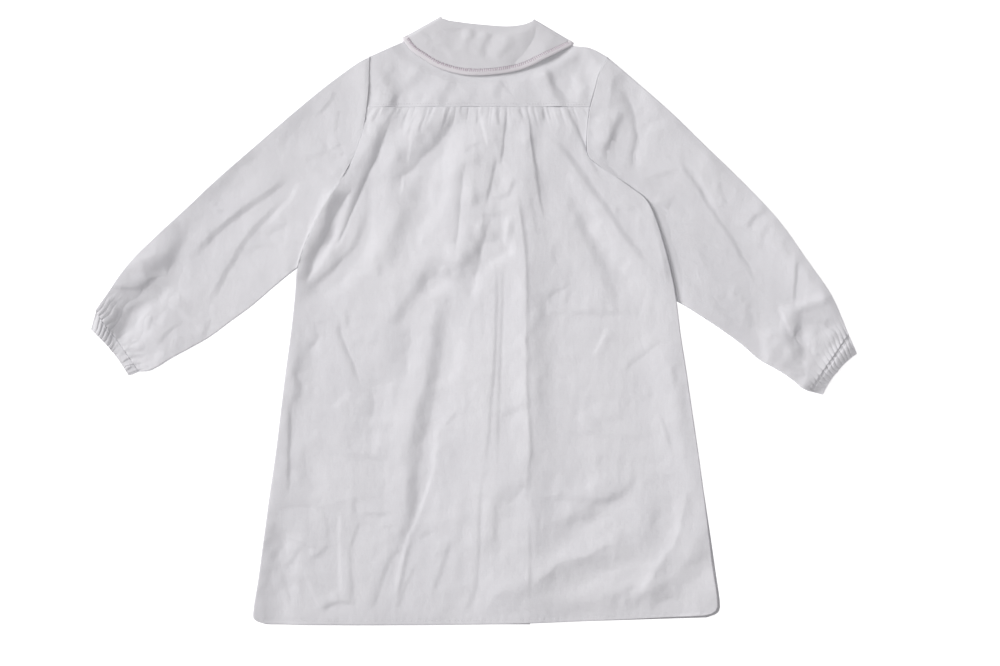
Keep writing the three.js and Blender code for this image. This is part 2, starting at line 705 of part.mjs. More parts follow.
function addCuff(name, sleeve, end, outward, bow) {
  const seam = sleeve.at(-1);
  const [[topX, topY], [underX, underY]] = movedAside(
    [[seam.topX, seam.topY], [seam.underX, seam.underY]],
    outward * GAP,
  );
  const shares = (count) => Array.from({ length: count + 1 }, (_, i) => i / count);
  const length = Math.hypot(end.underX - end.topX, end.underY - end.topY);
  const inwardX = (-outward * (end.topY - end.underY)) / length;
  const inwardY = (-outward * (end.underX - end.topX)) / length;
  const sections = CUFF_LOFTS.map((loft, ring) => {
    const t = ring / (CUFF_LOFTS.length - 1);
    const straight = edgeLine(betweenRows({ topX, topY, underX, underY }, end, t));
    const line = (share) => {
      const [x, y] = straight(share);
      const drawnIn = bow * t * 4 * share * (1 - share);
      return [x + inwardX * drawnIn, y + inwardY * drawnIn];
    };
    return { line, underShares: shares(CUFF_UNDER_COLUMNS), upperShares: shares(CUFF_UPPER_COLUMNS), loft };
  });
  const heights = (x, y, share, loft) => {
    const inside = smoothstep(Math.min(share, 1 - share), 0, CUFF_ROUND);
    const wave = 0.5 - 0.5 * Math.cos(2 * Math.PI * CUFF_WAVES * share);
    return inside * (loft + CUFF_WAVE_HEIGHT * wave);
  };
  addTube(name, sections, heights, CLOTH);
}

function addButton(index) {
  const shape = new THREE.Shape();
  shape.absarc(0, 0, BUTTON.across / 2, 0, 2 * Math.PI);
  for (const angle of [45, 135, 225, 315]) {
    const hole = new THREE.Path();
    const x = BUTTON.holeRing * Math.cos(degToRad(angle));
    const y = BUTTON.holeRing * Math.sin(degToRad(angle));
    for (let i = 0; i < BUTTON.holeSides; i++) {
      const turn = (-2 * Math.PI * i) / BUTTON.holeSides;
      const corner = [x + BUTTON.hole * Math.cos(turn), y + BUTTON.hole * Math.sin(turn)];
      if (i === 0) hole.moveTo(...corner);
      else hole.lineTo(...corner);
    }
    hole.closePath();
    shape.holes.push(hole);
  }
  const settings = { depth: BUTTON.thick, bevelEnabled: false, curveSegments: BUTTON.sides };
  const geometry = new THREE.ExtrudeGeometry(shape, settings);
  const y = BUTTON_Y[index];
  geometry.translate((stripEdge("left", y) + stripEdge("right", y)) / 2, y, 0);
  addPiece("button_" + (index + 1), geometry, PEARL);
}

addYoke();
addBackPanel();
addFront("front_left", "left", COLLAR_FRONT_LEFT, LEFT_SHOULDER, leftEdge, leftFrontFloor);
addFront("front_right", "right", COLLAR_FRONT_RIGHT, RIGHT_SHOULDER_INWARDS, rightEdge, frontFloor);
addSleeve("sleeve_left", "left", SLEEVE_LEFT, LEFT_UNDERARM);
addSleeve("sleeve_right", "right", SLEEVE_RIGHT, RIGHT_UNDERARM);
addCuff("cuff_left", SLEEVE_LEFT, CUFF_END_LEFT, -1, CUFF_BOW.left);
addCuff("cuff_right", SLEEVE_RIGHT, CUFF_END_RIGHT, 1, CUFF_BOW.right);
addCollar();
addCollarEdging();
BUTTON_Y.forEach((y, index) => addButton(index));

export default smock;
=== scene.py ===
"""School smock in white cotton, laid flat with its back upwards, for Blender 4.5.

Shapes are worked out in millimetres in the frame of the CAD model and stored in metres.
"""

import math
from collections import namedtuple

import bpy
import numpy as np
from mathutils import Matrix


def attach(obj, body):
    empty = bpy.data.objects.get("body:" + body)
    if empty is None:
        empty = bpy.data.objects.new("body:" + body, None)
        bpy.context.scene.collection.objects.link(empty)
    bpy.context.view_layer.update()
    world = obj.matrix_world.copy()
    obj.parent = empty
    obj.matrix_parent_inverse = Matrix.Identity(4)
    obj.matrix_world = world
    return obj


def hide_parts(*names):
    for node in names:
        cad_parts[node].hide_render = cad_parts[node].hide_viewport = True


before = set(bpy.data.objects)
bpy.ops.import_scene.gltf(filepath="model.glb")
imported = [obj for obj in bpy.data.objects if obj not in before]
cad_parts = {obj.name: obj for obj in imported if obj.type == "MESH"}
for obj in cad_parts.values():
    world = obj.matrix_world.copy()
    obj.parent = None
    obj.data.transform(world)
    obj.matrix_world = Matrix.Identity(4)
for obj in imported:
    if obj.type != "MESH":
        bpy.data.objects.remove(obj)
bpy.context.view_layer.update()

MM = 0.001

# Layers of cloth, as in the CAD model
WALL = 1.4
GAP = 0.3
LAYER = WALL + GAP
UNDERSIDE = 1.15  # from the top face of a visible layer down to its under face

# Outline of the body: left x, left y, right x, right y, y at the middle
BODY = [
    (-112, 286, 145, 285, 262),
    (-112.5, 268, 136, 268, 252),
    (-113, 250, 131, 250, 242),
    (-115, 232, 126, 232, 232),
    (-116.5, 220, 124, 220, 219),
    (-119, 206, 122.5, 206, 205),
    (-124, 192, 122, 191, 191),
    (-129, 178, 124.5, 178, 178),
    (-137, 163, 137, 167, 164),
    (-146, 148, 154, 156, 150),
    (-158, 131, 171, 144, 135),
    (-169, 112, 186, 132, 118),
    (-178, 92, 196, 113, 98),
    (-185, 75, 206, 82, 76),
    (-190, 58, 214, 50, 52),
    (-193, 26, 219, 22, 24),
    (-197, -12, 223.5, -14, -12),
    (-202.5, -54, 229.5, -52, -54),
    (-208, -98, 236, -97, -98),
    (-213.5, -143, 242.5, -142, -143),
    (-220, -188, 248.5, -186, -188),
    (-226, -232, 254, -229, -232),
    (-232, -276, 259.5, -272, -275),
    (-237.5, -311, 264, -303.5, -309),
    (-236, -322, 260.5, -313.5, -322),
    (-224, -327, 249.5, -317.5, -327),
]

# Rows of that outline: at the yoke's seam, below the collar's front and at the two underarms
SEAM_ROW = 3
COLLAR_ROW = 4
LEFT_UNDERARM = 14
RIGHT_UNDERARM = 15

# Strip down the middle where the fronts lap: y, left x, right x
STRIP = [
    (243, 18, 46),
    (142, 21, 50),
    (66, 21, 56),
    (12, 22, 59),
    (-139, 24, 62),
    (-327, 26, 61),
]
STRIP_TOP = 243
BUTTON_Y = [186, 93, 0, -93, -186]
BUTTON_LIFT = 2.5  # how far the buttons hold the fronts off the floor
NECK_CENTRE = (15, 296)
NECK_RADIUS = 121  # of the round area where the fronts lie on the collar

# Collar sections: x and y at the fold, x and y at the rim
COLLAR_BACK = [
    (-35, 326.5, -76, 303.5),
    (-31, 325.3, -67, 292),
    (-26, 323.6, -54, 283),
    (-18, 322.5, -41, 275),
    (-9, 321.2, -24, 269),
    (1, 320, -8, 266),
    (12, 319, 10, 265.5),
    (24, 318, 27, 267),
    (35, 317.5, 43, 269.5),
    (45, 318, 58, 274),
    (54, 319.5, 73, 281),
    (60, 321.6, 89, 289),
    (64.5, 323.7, 107, 298.3),
]
COLLAR_FRONT_LEFT = [
    (-35, 326.5, -76, 303.5),
    (-36, 312, -78, 288),
    (-34, 300, -78, 270),
    (-28, 288, -70, 252),
    (-19, 277, -54, 233),
    (-7, 267, -32, 219),
    (6, 260, -10, 213),
    (15, 256, 9, 217),
    (21, 254, 20, 226),
    (25, 253, 25, 238),
]
COLLAR_FRONT_RIGHT = [
    (64.5, 323.7, 107, 298.3),
    (64, 310, 108, 284),
    (62, 299, 108, 266),
    (57, 288, 101, 249),
    (51, 278, 88, 232),
    (44, 269, 71, 219),
    (38, 262, 53, 213),
    (34, 257, 41, 218),
    (32, 254, 35, 227),
    (31, 253, 31.5, 238),
]
COLLAR_LEVEL = 2 * LAYER - GAP / 2  # middle of the folded collar, and from there to its outer face
SEAM_GAP = 0.06  # between two pieces that are sewn together
SIDE_RISE = 2.2  # how much higher the cloth is along a folded side
SIDE_SAG = 52  # how far in from there it has sunk
STAND = 9  # height of the collar's inner stand, from the fold to the neck seam
EDGING = 6.5  # width of the band round the collar
LEFT_SHOULDER = [(-112, 286), (-94, 294), (-73, 304)]
RIGHT_SHOULDER = [(104, 299), (126, 295), (145, 285)]

# Sleeve sections: x and y of the upper edge, x and y of the lower edge, loft
SLEEVE_LEFT = [
    (-112, 286, -190, 58, 2.6),
    (-130, 276, -199, 51, 2.8),
    (-165, 250, -217, 36, 3.2),
    (-204.4, 217.2, -239.2, 17, 3.4),
    (-242.3, 184.2, -263.4, -0.9, 3.4),
    (-278, 153, -285.3, -17, 3.4),
    (-312, 121, -305.6, -28.7, 3.4),
    (-346, 89, -325.6, -39.7, 3.4),
    (-372, 62, -340.5, -49, 3.4),
    (-390, 37, -350.6, -53.4, 3.2),
    (-407, 12, -361, -54, 2.4),
]
SLEEVE_RIGHT = [
    (145, 285, 219, 22, 2.4),
    (160.7, 271.7, 229.7, 16, 2.6),
    (190.6, 245.7, 250.9, 2.3, 3),
    (221, 218.3, 270.7, -11, 3.2),
    (252, 188, 290.3, -25.6, 3.4),
    (281, 160, 307.6, -40.6, 3.4),
    (308.8, 131.7, 324, -50, 3.4),
    (334, 103, 337, -58, 3.4),
    (359.4, 66.6, 347, -65.5, 3.4),
    (385.4, 28.8, 354, -71.6, 3.2),
    (404.7, -13.2, 361, -75.1, 2.4),
]

# Open ends of the cuffs, in the same order
CUFF_LEFT = (-412.6, -7.8, -372, -58.5, 1.8)
CUFF_RIGHT = (414.4, -34.2, 377.2, -79, 1.8)

Band = namedtuple("Band", "path width drop reach sharp", defaults=(0,))


def bands(*rows):
    """Rows of a table of creases: path, width of the slope, how far it drops, reach on both sides.

    The last number says where the slope is sharp: -1 at its upper end, 1 at its lower end, 0 nowhere.
    """
    return [Band(*row) for row in rows]


# Broad folds of the body, the sleeves and the cuffs
FOLDS = bands(
    ([(-120, 194), (-136, 151), (-150, 116), (-164, 82), (-181, 43), (-200, 6)], 30, 4.7, 39),
    ([(-310, 112), (-323, 82), (-339, 49)], 22, 1.4, 28),
    ([(-390, -31), (-375, -24), (-358, -20)], 4, 0.9, 5),
    ([(-386, -38), (-371, -32), (-353, -30)], 5, 1.1, 5),
    ([(-381, -46), (-368, -39), (-353, -37)], 5, 1.2, 5),
    ([(-377, -53), (-367, -47), (-358, -46)], 5, 1.5, 5),
    ([(-310, 82), (-345, 50), (-371, 26), (-387, 2), (-393, -29), (-395, -80)], 32, 8.8, 30),
    ([(-352, -16), (-362, -37), (-371, -65)], 26, 3.2, 13),
    ([(-144, 259), (-187, 222), (-236, 180), (-290, 131), (-326, 99)], 37, 1.6, 43),
    ([(-92, 187), (-110, 144), (-125, 107), (-142, 71), (-166, 38)], 22, 2.8, 24),
    ([(-75, 202), (-83, 157), (-92, 110)], 19, 2.4, 17),
    ([(-143, 146), (-153, 114), (-166, 77)], 15, 3.4, 13),
    ([(1, 84), (20, 88), (46, 91)], 24, 5, 15),
    ([(26, 131), (22, 101), (15, 66)], 15, 2, 13),
    ([(-85, -52), (-97, -106), (-112, -158)], 28, -2.2, 28),
    ([(33, -165), (24, -214), (15, -264)], 24, 2.8, 24),
    ([(-97, 295), (-93, 265), (-89, 235), (-92, 205), (-103, 164)], 26, 4.8, 26),
    ([(9, 248), (-17, 226), (-43, 205), (-69, 185), (-86, 166)], 30, 3.6, 32),
    ([(20, 220), (16, 174), (11, 131), (5, 97), (-10, 64), (-34, 45)], 30, 4, 30),
    ([(49, 126), (49, 34), (50, -52), (51, -182)], 26, -2.8, 32),
    ([(-66, 50), (-43, 55), (-19, 55), (7, 61)], 24, 4.8, 19),
    ([(-23, 218), (-35, 158), (-47, 99), (-64, 58)], 26, -3, 30),
    ([(126, 142), (158, 88), (188, 32)], 28, -2.2, 32),
    ([(197, 136), (204, 104), (211, 72), (220, 30)], 17, 2, 28, -1),
    ([(152, 293), (158, 261), (160, 226), (155, 196), (143, 168)], 28, 4.4, 24),
    ([(331, -5), (353, -1), (372, 4), (396, 12)], 26, 5.8, 15),
    ([(340, -5), (338, -31), (333, -59)], 30, 4.5, 17),
    ([(348, -87), (376, -66), (402, -39), (420, -18)], 15, 5.4, 15),
    ([(89, -223), (130, -206), (173, -182)], 24, 4, 28),
    ([(14, -303), (80, -284), (137, -264), (188, -247)], 22, 2.8, 24),
    ([(238, -106), (234, -193), (206, -275)], 28, -1.2, 26),
    ([(-192, -128), (-190, -182), (-181, -236)], 26, 2.6, 26),
    ([(-222, -193), (-224, -258), (-228, -314), (-231, -361)], 37, 4.2, 22),
    ([(117, 298), (96, 276), (72, 256)], 26, 4.6, 26),
    ([(72, 241), (70, 211), (65, 181)], 17, 1.8, 15),
    ([(-187, -9), (-183, -63), (-190, -96)], 22, 1.8, 22),
    ([(-2, -160), (-6, -236), (-12, -307)], 30, 2.2, 28),
    ([(176, -309), (214, -288), (242, -258), (258, -210)], 26, 4.2, 26),
    ([(-12, -315), (93, -308), (180, -304), (290, -298)], 24, 2.8, 28),
)
# Creases below the yoke's seam
GATHER_BANDS = bands(
    ([(-102, 231), (-106, 222), (-111, 214)], 3.8, 1.2, 11),
    ([(-91, 233), (-97, 209), (-107, 183), (-122, 151), (-133, 125), (-144, 99), (-154, 82),
     (-156, 64)], 9.2, 3.9, 22, 1),
    ([(-101, 205), (-113, 180), (-127, 157)], 14, 1.6, 19),
    ([(-129, 159), (-144, 140), (-159, 114), (-172, 88), (-183, 62), (-191, 32)], 18.4, 4.6, 18, 1),
    ([(-118, 123), (-122, 97), (-129, 79), (-144, 63), (-161, 48), (-192, 25)], 10.8, 3, 22),
    ([(-28, 231), (-35, 207), (-53, 188), (-75, 170), (-94, 155)], 20.5, 4.6, 30, 1),
    ([(-62, 153), (-72, 120), (-83, 88), (-94, 53)], 21.6, 2.8, 27),
    ([(-53, 161), (-63, 142), (-71, 125)], 10.8, 1, 19),
    ([(-100, 64), (-101, 56), (-102, 45)], 7.6, 0.8, 14),
    ([(-68, 207), (-69, 185), (-72, 168)], 4.3, -0.7, 12),
    ([(-75, 161), (-77, 148), (-79, 136)], 4.3, -0.8, 12),
    ([(-72, 226), (-76, 215), (-79, 204)], 3.2, 0.7, 8),
    ([(-62, 226), (-68, 211), (-72, 198)], 3.2, 0.7, 9),
    ([(-49, 227), (-56, 215), (-60, 202)], 3.5, 1, 9),
    ([(-12, 179), (-16, 153), (-19, 125), (-22, 92), (-26, 64)], 9.7, 2, 16, 1),
    ([(-11, 182), (-3, 188), (9, 193)], 4.3, 0.8, 11),
    ([(3, 185), (4, 177), (4, 167)], 9.7, 0.9, 14),
    ([(3, 146), (2, 136), (1, 123)], 10.8, 1.2, 16),
    ([(24, 179), (19, 155), (12, 125)], 3.2, 1.4, 14, 1),
    ([(12, 131), (11, 114), (11, 97)], 3.2, 0.6, 11),
    ([(25, 232), (26, 222), (28, 210)], 3.9, 1.1, 11),
    ([(35, 233), (33, 207), (28, 166)], 3.5, 1.3, 16, 1),
    ([(4, 232), (4, 224), (3, 213)], 2.8, 0.9, 8),
    ([(7, 226), (11, 207), (16, 185)], 3.9, -0.8, 11),
    ([(11, 125), (7, 101), (1, 77), (-8, 50), (-17, 19)], 18.4, 3.6, 24, 1),
    ([(-4, 116), (11, 114), (34, 114)], 5.4, 0.9, 14, -1),
    ([(36, 116), (34, 97), (32, 79)], 5.4, -1.2, 11),
    ([(-49, 63), (-53, 48), (-66, 29), (-80, 7), (-92, -11)], 14, 2.5, 27),
    ([(-38, 58), (-28, 57), (-26, 48)], 6.5, 1.2, 12),
    ([(49, 232), (50, 225), (55, 220)], 3.2, 1.1, 8),
    ([(61, 235), (63, 200), (68, 166), (72, 136), (78, 105)], 3.7, 1.5, 19, -1),
    ([(75, 232), (75, 224), (77, 218)], 3.2, 1, 9),
    ([(73, 215), (83, 197), (100, 183), (117, 160), (137, 131), (154, 106), (171, 83), (187, 63),
     (204, 48)], 8.6, 2.3, 27),
    ([(89, 183), (106, 151), (124, 123), (141, 88), (165, 58), (191, 28)], 19.4, -2, 27),
    ([(93, 157), (110, 120), (124, 88), (137, 62), (148, 34), (160, 6)], 14, 1.9, 27),
    ([(96, 248), (105, 222), (117, 194), (126, 174), (137, 151)], 4.1, 1.6, 19, 1),
    ([(120, 226), (123, 209), (125, 190)], 8.6, -0.9, 14),
    ([(82, 231), (91, 225), (101, 220)], 3.2, 0.7, 9),
    ([(153, 125), (167, 122), (182, 120)], 9.7, 1, 16),
    ([(77, 25), (90, 33), (106, 40)], 4.3, 0.9, 14),
    ([(97, 17), (102, 28), (106, 37)], 4.3, 0.7, 11),
    ([(87, 85), (86, 73), (90, 58)], 6.5, 0.6, 14),
    ([(50, 145), (53, 118), (57, 88), (59, 56), (60, 23), (60, -9)], 5.6, 1.5, 35, -1),
    ([(60, 142), (64, 118), (70, 90)], 5.4, 0.6, 14),
    ([(20, 133), (36, 136), (42, 146), (45, 158)], 5.4, 1.5, 12),
    ([(63, 11), (77, 10), (106, 9), (137, 9), (180, 7)], 6.5, 1.1, 22),
    ([(66, 15), (73, 10), (77, 5)], 8.6, 1, 12),
    ([(-139, 110), (-154, 82), (-168, 60), (-183, 40)], 7.6, -1.6, 11),
)

# Creases across the middle of the back and down its sides
MIDDLE_BANDS = bands(
    ([(-185, 19), (-187, -20), (-192, -69), (-200, -106), (-205, -155), (-210, -204), (-218, -258),
     (-222, -306)], 19.4, 2, 24),
    ([(-169, -10), (-174, -21), (-184, -29)], 8.6, 1.1, 11, 1),
    ([(-173, -1), (-166, -1), (-158, 3)], 6.5, 0.6, 11),
    ([(-198, -83), (-200, -128), (-201, -191)], 4.3, 1.3, 11, 1),
    ([(-198, -53), (-192, -68), (-183, -78)], 10.8, 1.2, 14, 1),
    ([(-147, 6), (-146, -14), (-139, -33), (-131, -52), (-123, -75)], 6.5, 1.6, 19, 1),
    ([(-137, 15), (-137, 4), (-136, -8)], 4.9, 0.8, 11),
    ([(-133, -21), (-120, -23), (-101, -26)], 6.5, 0.8, 16, -1),
    ([(-80, -1), (-83, -26), (-86, -60)], 25.9, 2, 27, 1),
    ([(-78, -66), (-96, -70), (-116, -72)], 4.9, -0.6, 12),
    ([(-118, -75), (-112, -89), (-116, -106)], 10.8, 1.1, 16, 1),
    ([(-131, -75), (-143, -85), (-154, -96)], 7.6, -0.8, 16),
    ([(-164, -127), (-150, -138), (-133, -144), (-114, -146), (-86, -147)], 10.8, 1.3, 24),
    ([(-28, 48), (-33, 15), (-38, -25), (-46, -69), (-53, -98), (-61, -131), (-65, -171), (-68, -204),
     (-74, -232), (-82, -260)], 18.4, 4.6, 24),
    ([(-36, -124), (-44, -158), (-50, -182), (-57, -200), (-64, -218), (-72, -236), (-78, -258),
     (-83, -281), (-86, -305)], 4.1, -1, 9),
    ([(-39, -104), (-43, -137), (-49, -169)], 7.6, -0.8, 15),
    ([(-18, -98), (-24, -105), (-30, -114)], 4.3, 0.8, 11),
    ([(-6, -82), (7, -87), (19, -85)], 15.1, 0.9, 19),
    ([(25, 75), (25, 23), (23, -31), (19, -85), (16, -128), (11, -165)], 3.9, 1, 11),
    ([(31, 71), (30, 12), (28, -42), (26, -106), (25, -171)], 3.9, 0.9, 11, 1),
    ([(59, 34), (60, -42), (61, -85), (63, -117), (64, -141), (61, -171), (60, -207)], 6.5, 1.6, 35, -1),
    ([(68, 39), (70, -20), (73, -85), (75, -134)], 21.6, 1.6, 41),
    ([(28, -106), (39, -97), (58, -89)], 7.6, 0.9, 15),
    ([(30, -198), (42, -185), (55, -169)], 10.8, 1, 16, 1),
    ([(145, -4), (137, -22), (127, -39)], 4.9, -0.9, 12),
    ([(202, -17), (187, -31), (173, -42), (157, -57)], 4.9, 0.9, 12, 1),
    ([(210, -4), (217, -42), (225, -85), (232, -128), (240, -166), (247, -204)], 19.4, 1.9, 22),
    ([(213, -48), (217, -57), (220, -68)], 6.5, 0.9, 11),
    ([(198, -94), (204, -106), (210, -126), (215, -146)], 5.4, 0.9, 14),
    ([(109, -105), (124, -96), (143, -90)], 8.6, -0.8, 19),
    ([(132, -109), (145, -106), (163, -104)], 9.7, 0.9, 19),
    ([(93, -124), (126, -120), (156, -124), (180, -125), (198, -116)], 7.6, 0.8, 19),
    ([(128, -156), (134, -150), (140, -142)], 8.6, 0.7, 16),
    ([(164, -79), (180, -83), (197, -76)], 9.7, 0.6, 19),
)

# Creases above the hem
HEM_BANDS = bands(
    ([(-207, -196), (-187, -196), (-167, -200)], 7.6, 0.83, 14, 1),
    ([(-184, -158), (-181, -177), (-177, -194)], 15.1, 0.83, 19),
    ([(-168, -201), (-161, -213), (-160, -238)], 7, 0.9, 14, 1),
    ([(-205, -233), (-188, -239), (-169, -247)], 4.3, 0.9, 12),
    ([(-178, -256), (-166, -251), (-156, -240)], 5.4, 0.9, 12),
    ([(-186, -242), (-195, -256), (-206, -267)], 5.9, 0.9, 12),
    ([(-208, -268), (-202, -288), (-197, -309)], 4.9, 0.75, 12),
    ([(-174, -281), (-160, -287), (-145, -302)], 4.9, 0.68, 12),
    ([(-185, -263), (-176, -288), (-164, -314)], 4.9, -0.68, 14),
    ([(-166, -314), (-155, -306), (-143, -303), (-129, -308)], 5.4, 1.27, 12),
    ([(-145, -196), (-145, -247), (-142, -303)], 4.9, -0.9, 14),
    ([(-134, -234), (-133, -268), (-129, -307)], 4.9, 0.75, 14),
    ([(-125, -188), (-129, -201), (-125, -213)], 5.9, 0.68, 12),
    ([(-122, -214), (-128, -230), (-133, -246)], 4.1, 0.9, 12),
    ([(-126, -209), (-103, -209), (-83, -208)], 5.4, 0.98, 14, -1),
    ([(-102, -222), (-92, -221), (-83, -219)], 4.3, 0.52, 12),
    ([(-90, -249), (-97, -268), (-104, -290), (-113, -314)], 7, 1.05, 15, 1),
    ([(-79, -244), (-88, -252), (-91, -261)], 6.5, 0.75, 12, 1),
    ([(-66, -234), (-72, -253), (-77, -277), (-83, -305)], 4.3, 0.83, 11),
    ([(-60, -258), (-69, -277), (-78, -299), (-85, -316)], 4.3, 0.75, 12),
    ([(-61, -234), (-53, -228), (-45, -224)], 6.5, 0.75, 14, 1),
    ([(-23, -232), (-30, -253), (-37, -275), (-47, -298)], 4.9, 0.98, 16),
    ([(12, -152), (7, -198), (5, -258), (-1, -315)], 4.3, 0.83, 14),
    ([(1, -289), (-4, -303), (-9, -317)], 5.9, 0.75, 12),
    ([(-12, -186), (-23, -201), (-32, -217)], 8.6, -0.52, 16),
    ([(20, -191), (21, -214), (19, -240)], 9.7, 0.83, 12, 1),
    ([(62, -191), (83, -191), (110, -191), (134, -193), (154, -191), (168, -178),
     (178, -157)], 9.7, 1.35, 24),
    ([(70, -275), (89, -253), (109, -239), (134, -218), (156, -200), (184, -186)], 16.2, -1.5, 27),
    ([(61, -291), (80, -281), (97, -267), (120, -260), (145, -249), (173, -238)], 13, 1.8, 27, -1),
    ([(172, -303), (187, -281), (196, -260), (210, -241), (219, -214), (223, -180)], 14, -1.12, 24),
    ([(182, -306), (198, -282), (212, -260), (226, -237), (233, -209), (239, -169)], 15.1, 1.95, 27, -1),
    ([(145, -302), (160, -294), (179, -281)], 7.6, 0.75, 15),
    ([(14, -305), (34, -298), (61, -298)], 14, 0.98, 22, -1),
    ([(61, -208), (61, -258), (60, -309)], 3.2, 0.68, 11),
    ([(70, -201), (69, -231), (69, -260)], 3.7, 0.38, 11),
    ([(202, -199), (194, -212), (187, -226)], 7.6, 0.45, 16),
    ([(160, -230), (173, -235), (188, -237)], 10.8, 0.52, 19),
)

# Creases in the yoke; the first one goes on into the panel and the sleeves
YOKE_BANDS = bands(
    ([(-113, 300), (-113, 267), (-114, 244), (-116, 226), (-119, 209), (-125, 185)], 9.7, 2.08, 19),
    ([(-103, 259), (-98, 256), (-92, 252)], 5.4, 0.72, 12),
    ([(-97, 250), (-100, 241), (-100, 234)], 5.4, 0.48, 12),
    ([(-82, 244), (-88, 238), (-91, 231)], 5.4, 0.72, 12),
    ([(127, 251), (119, 245), (115, 235)], 8.6, 0.72, 16),
    ([(137, 280), (132, 263), (128, 244)], 10.8, -0.64, 19),
    ([(-15, 276), (-22, 261), (-30, 244), (-37, 224)], 11.9, 1.92, 19),
    ([(37, 272), (29, 256), (22, 237)], 10.8, 1.44, 16),
    ([(25, 265), (34, 253), (44, 241)], 3.2, 0.48, 9),
    ([(72, 282), (83, 263), (92, 246), (102, 224)], 10.8, 2.24, 19),
    ([(-47, 274), (-64, 259), (-79, 244), (-93, 226)], 13, 1.52, 19),
    ([(-74, 280), (-64, 265), (-47, 256)], 4.3, -0.48, 11),
    ([(107, 272), (112, 252), (115, 233)], 11.9, -1.28, 16),
)

# Creases in the sleeves
LEFT_SLEEVE_BANDS = bands(
    ([(-201, 164), (-206, 151), (-222, 138), (-241, 125), (-260, 111), (-276, 98), (-292, 82),
     (-310, 63)], 8.6, 2.8, 24),
    ([(-198, 142), (-211, 126), (-226, 111), (-239, 96), (-249, 83), (-261, 62), (-275, 39),
     (-291, 10)], 8.6, 2, 24),
    ([(-187, 153), (-198, 133), (-213, 116), (-228, 99)], 7.6, -1.2, 19),
    ([(-198, 106), (-214, 100), (-228, 92)], 7.6, 0.9, 16),
    ([(-202, 86), (-225, 82), (-249, 77)], 7.6, 1, 19),
    ([(-309, 105), (-320, 84), (-330, 64), (-340, 46)], 14, 1.6, 24),
    ([(-334, 50), (-348, 46), (-355, 39), (-361, 28)], 4.3, 1.5, 14, 1),
    ([(-352, 36), (-373, 34), (-397, 37)], 5.4, 1.3, 16, -1),
    ([(-339, 46), (-342, 22), (-347, 2), (-353, -14)], 4.3, 1.2, 14),
    ([(-341, 25), (-323, 15), (-308, 4), (-289, -11)], 7.6, 1, 16),
    ([(-341, -28), (-330, -12), (-313, 1)], 5.4, 0.9, 14),
    ([(-401, 45), (-394, 17), (-387, -5), (-379, -33)], 23.8, 5, 30),
    ([(-349, 49), (-361, 30), (-373, 10), (-377, -11)], 28.1, 2.6, 27),
    ([(-364, -9), (-360, -20), (-353, -33)], 8.6, 0.9, 19),
    ([(-282, 4), (-289, -9), (-291, -20)], 6.5, 0.9, 14),
    ([(-265, 6), (-252, 2), (-235, -3)], 5.4, 0.9, 16),
    ([(-184, 177), (-173, 178), (-161, 183), (-163, 196)], 6.5, 0.8, 16),
    ([(-155, 185), (-148, 188), (-142, 192)], 5.4, 0.9, 12),
    ([(-155, 179), (-146, 179), (-138, 183)], 5.4, 0.7, 14),
    ([(-152, 254), (-152, 244), (-158, 233), (-174, 218)], 5.4, 0.8, 16),
    ([(-146, 231), (-147, 218), (-151, 202)], 4.3, 0.5, 14),
    ([(-204, 207), (-206, 191), (-198, 180), (-187, 172)], 8.6, 0.5, 19),
    ([(-228, 194), (-252, 169), (-279, 142), (-301, 123)], 15.1, 1.8, 27),
    ([(-168, 239), (-187, 220), (-209, 198)], 15.1, 1.4, 27),
    ([(-349, 107), (-360, 88), (-371, 75)], 15.1, 1.6, 24),
    ([(-288, 125), (-276, 118), (-272, 125)], 7.6, 0.7, 14),
    ([(-139, 161), (-131, 177), (-123, 194)], 5.4, 0.6, 16),
)

